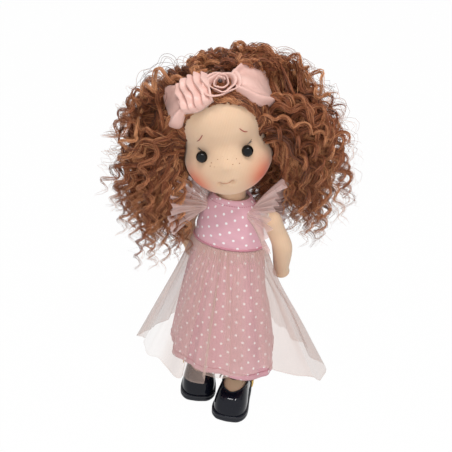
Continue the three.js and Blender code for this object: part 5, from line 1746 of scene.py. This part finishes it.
def make_scalp():
    """A cap of short hair under the locks, so that no scalp shows between them; its dark tone is painted shade deep in
    the hair.
    """
    columns, levels = 160, 110
    angle = np.linspace(-math.pi, math.pi, columns, endpoint=False)
    share = np.linspace(0.1, 1, levels)
    angles, shares = np.meshgrid(angle, share)
    lump = 0.8 * (np.sin(17 * angles + 9 * shares) + np.sin(11 * angles - 23 * shares))
    points = head_points(angles, shares, 1.4 + 0.3 * lump)
    hairline = [(-76, 0.1), (-68, 0.45), (-60, 0.56), (-50, 0.69), (-37.5, 0.8), (-23.6, 0.88), (0, 0.9), (18, 0.9), (44, 0.86), (57, 0.72), (66, 0.58), (72, 0.4), (78, 0.1)]
    line = follow(hairline, np.degrees(angles))
    bare = (shares < line) & (np.degrees(angles) > -76) & (np.degrees(angles) < 78)
    keep = ~bare.ravel()
    faces = [face for face in grid_faces(levels, columns, True) if all(keep[i] for i in face)]
    cap = make_piece("hair_cap", points, faces, HAIR, HEAD)
    # The darkest tone, as painted shade deep under the locks.
    paint(cap, "tone", np.full(columns * levels, 0.12))
    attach(cap, "head")


# Small pieces that keep their CAD shape


def finish_cad_nodes():
    finishes = {
        "shoulder_thread": THREAD,
        "left_shoulder_button": THREAD,
        "right_shoulder_button": THREAD,
        "back_placket": PIPING,
        "snap_button_1": SNAP,
        "snap_button_2": SNAP,
        "snap_button_3": SNAP,
    }
    for name, material in finishes.items():
        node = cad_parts[name]
        for slot in node.material_slots:
            slot.material = material


# Studio


def make_studio():
    floor_shader = Shader("studio_floor", Roughness=0.9)
    floor_shader.colour(linear(250, 250, 250))
    tree = floor_shader.tree
    glow = tree.nodes.new("ShaderNodeEmission")
    glow.inputs["Color"].default_value = (1, 1, 1, 1)
    glow.inputs["Strength"].default_value = 1.0
    rays = tree.nodes.new("ShaderNodeLightPath")
    seen = floor_shader.math("MAXIMUM", rays.outputs["Is Camera Ray"], rays.outputs["Is Glossy Ray"])
    seen = floor_shader.math("MAXIMUM", seen, rays.outputs["Is Transmission Ray"])
    mix = tree.nodes.new("ShaderNodeMixShader")
    tree.links.new(floor_shader.math("MULTIPLY", seen, 0.985), mix.inputs[0])
    tree.links.new(floor_shader.surface.outputs[0], mix.inputs[1])
    tree.links.new(glow.outputs[0], mix.inputs[2])
    tree.links.new(mix.outputs[0], floor_shader.output.inputs["Surface"])
    size = 6000
    corners = [(-size, -size, 0), (size, -size, 0), (size, size, 0), (-size, size, 0)]
    floor = make_piece("studio_floor", corners, [(0, 1, 2, 3)], floor_shader.material)

    world = bpy.data.worlds.new("studio")
    bpy.context.scene.world = world
    world.use_nodes = True
    nodes, links = world.node_tree.nodes, world.node_tree.links
    backdrop = nodes["Background"]
    backdrop.inputs["Color"].default_value = (1, 1, 1, 1)
    rays = nodes.new("ShaderNodeLightPath")
    camera_or_gloss = nodes.new("ShaderNodeMath")
    camera_or_gloss.operation = "MAXIMUM"
    links.new(rays.outputs["Is Camera Ray"], camera_or_gloss.inputs[0])
    links.new(rays.outputs["Is Glossy Ray"], camera_or_gloss.inputs[1])
    seen = nodes.new("ShaderNodeMath")
    seen.operation = "MAXIMUM"
    links.new(camera_or_gloss.outputs[0], seen.inputs[0])
    links.new(rays.outputs["Is Transmission Ray"], seen.inputs[1])
    strength = nodes.new("ShaderNodeMapRange")
    strength.inputs["To Min"].default_value = 0.37
    strength.inputs["To Max"].default_value = 1.0
    links.new(seen.outputs[0], strength.inputs["Value"])
    links.new(strength.outputs[0], backdrop.inputs["Strength"])

    for name, azimuth, elevation, width, height, power in (
        ("soft_box_left", -6, 72, 0.20, 0.16, 3.2),
        ("soft_box_right", 50, 68, 0.20, 0.16, 3.2),
        ("front_fill", 24, 27, 0.80, 0.80, 5.0),
    ):
        lamp = bpy.data.lights.new(name, "AREA")
        lamp.shape = "RECTANGLE"
        lamp.size, lamp.size_y = width, height
        lamp.energy = power
        spot = bpy.data.objects.new(name, lamp)
        bpy.context.scene.collection.objects.link(spot)
        spot.visible_glossy = name != "front_fill"
        a, e = math.radians(azimuth), math.radians(elevation)
        back = Vector((math.sin(a) * math.cos(e), -math.cos(a) * math.cos(e), math.sin(e)))
        spot.location = DOLL @ (Vector((0, 0, 150)) + back * 1200)
        spot.rotation_mode = "QUATERNION"
        spot.rotation_quaternion = (-back).to_track_quat("-Z", "Y")
    bpy.context.scene.view_settings.view_transform = "Standard"


make_camera()
make_studio()
make_body()
make_head()
make_face_details()
make_eyes_and_ears()
make_arms()
make_legs()
make_shoes()
make_bodice()
make_lining()
make_tulle()
make_ruffles()
make_headband()
make_scalp()
make_hair()
finish_cad_nodes()
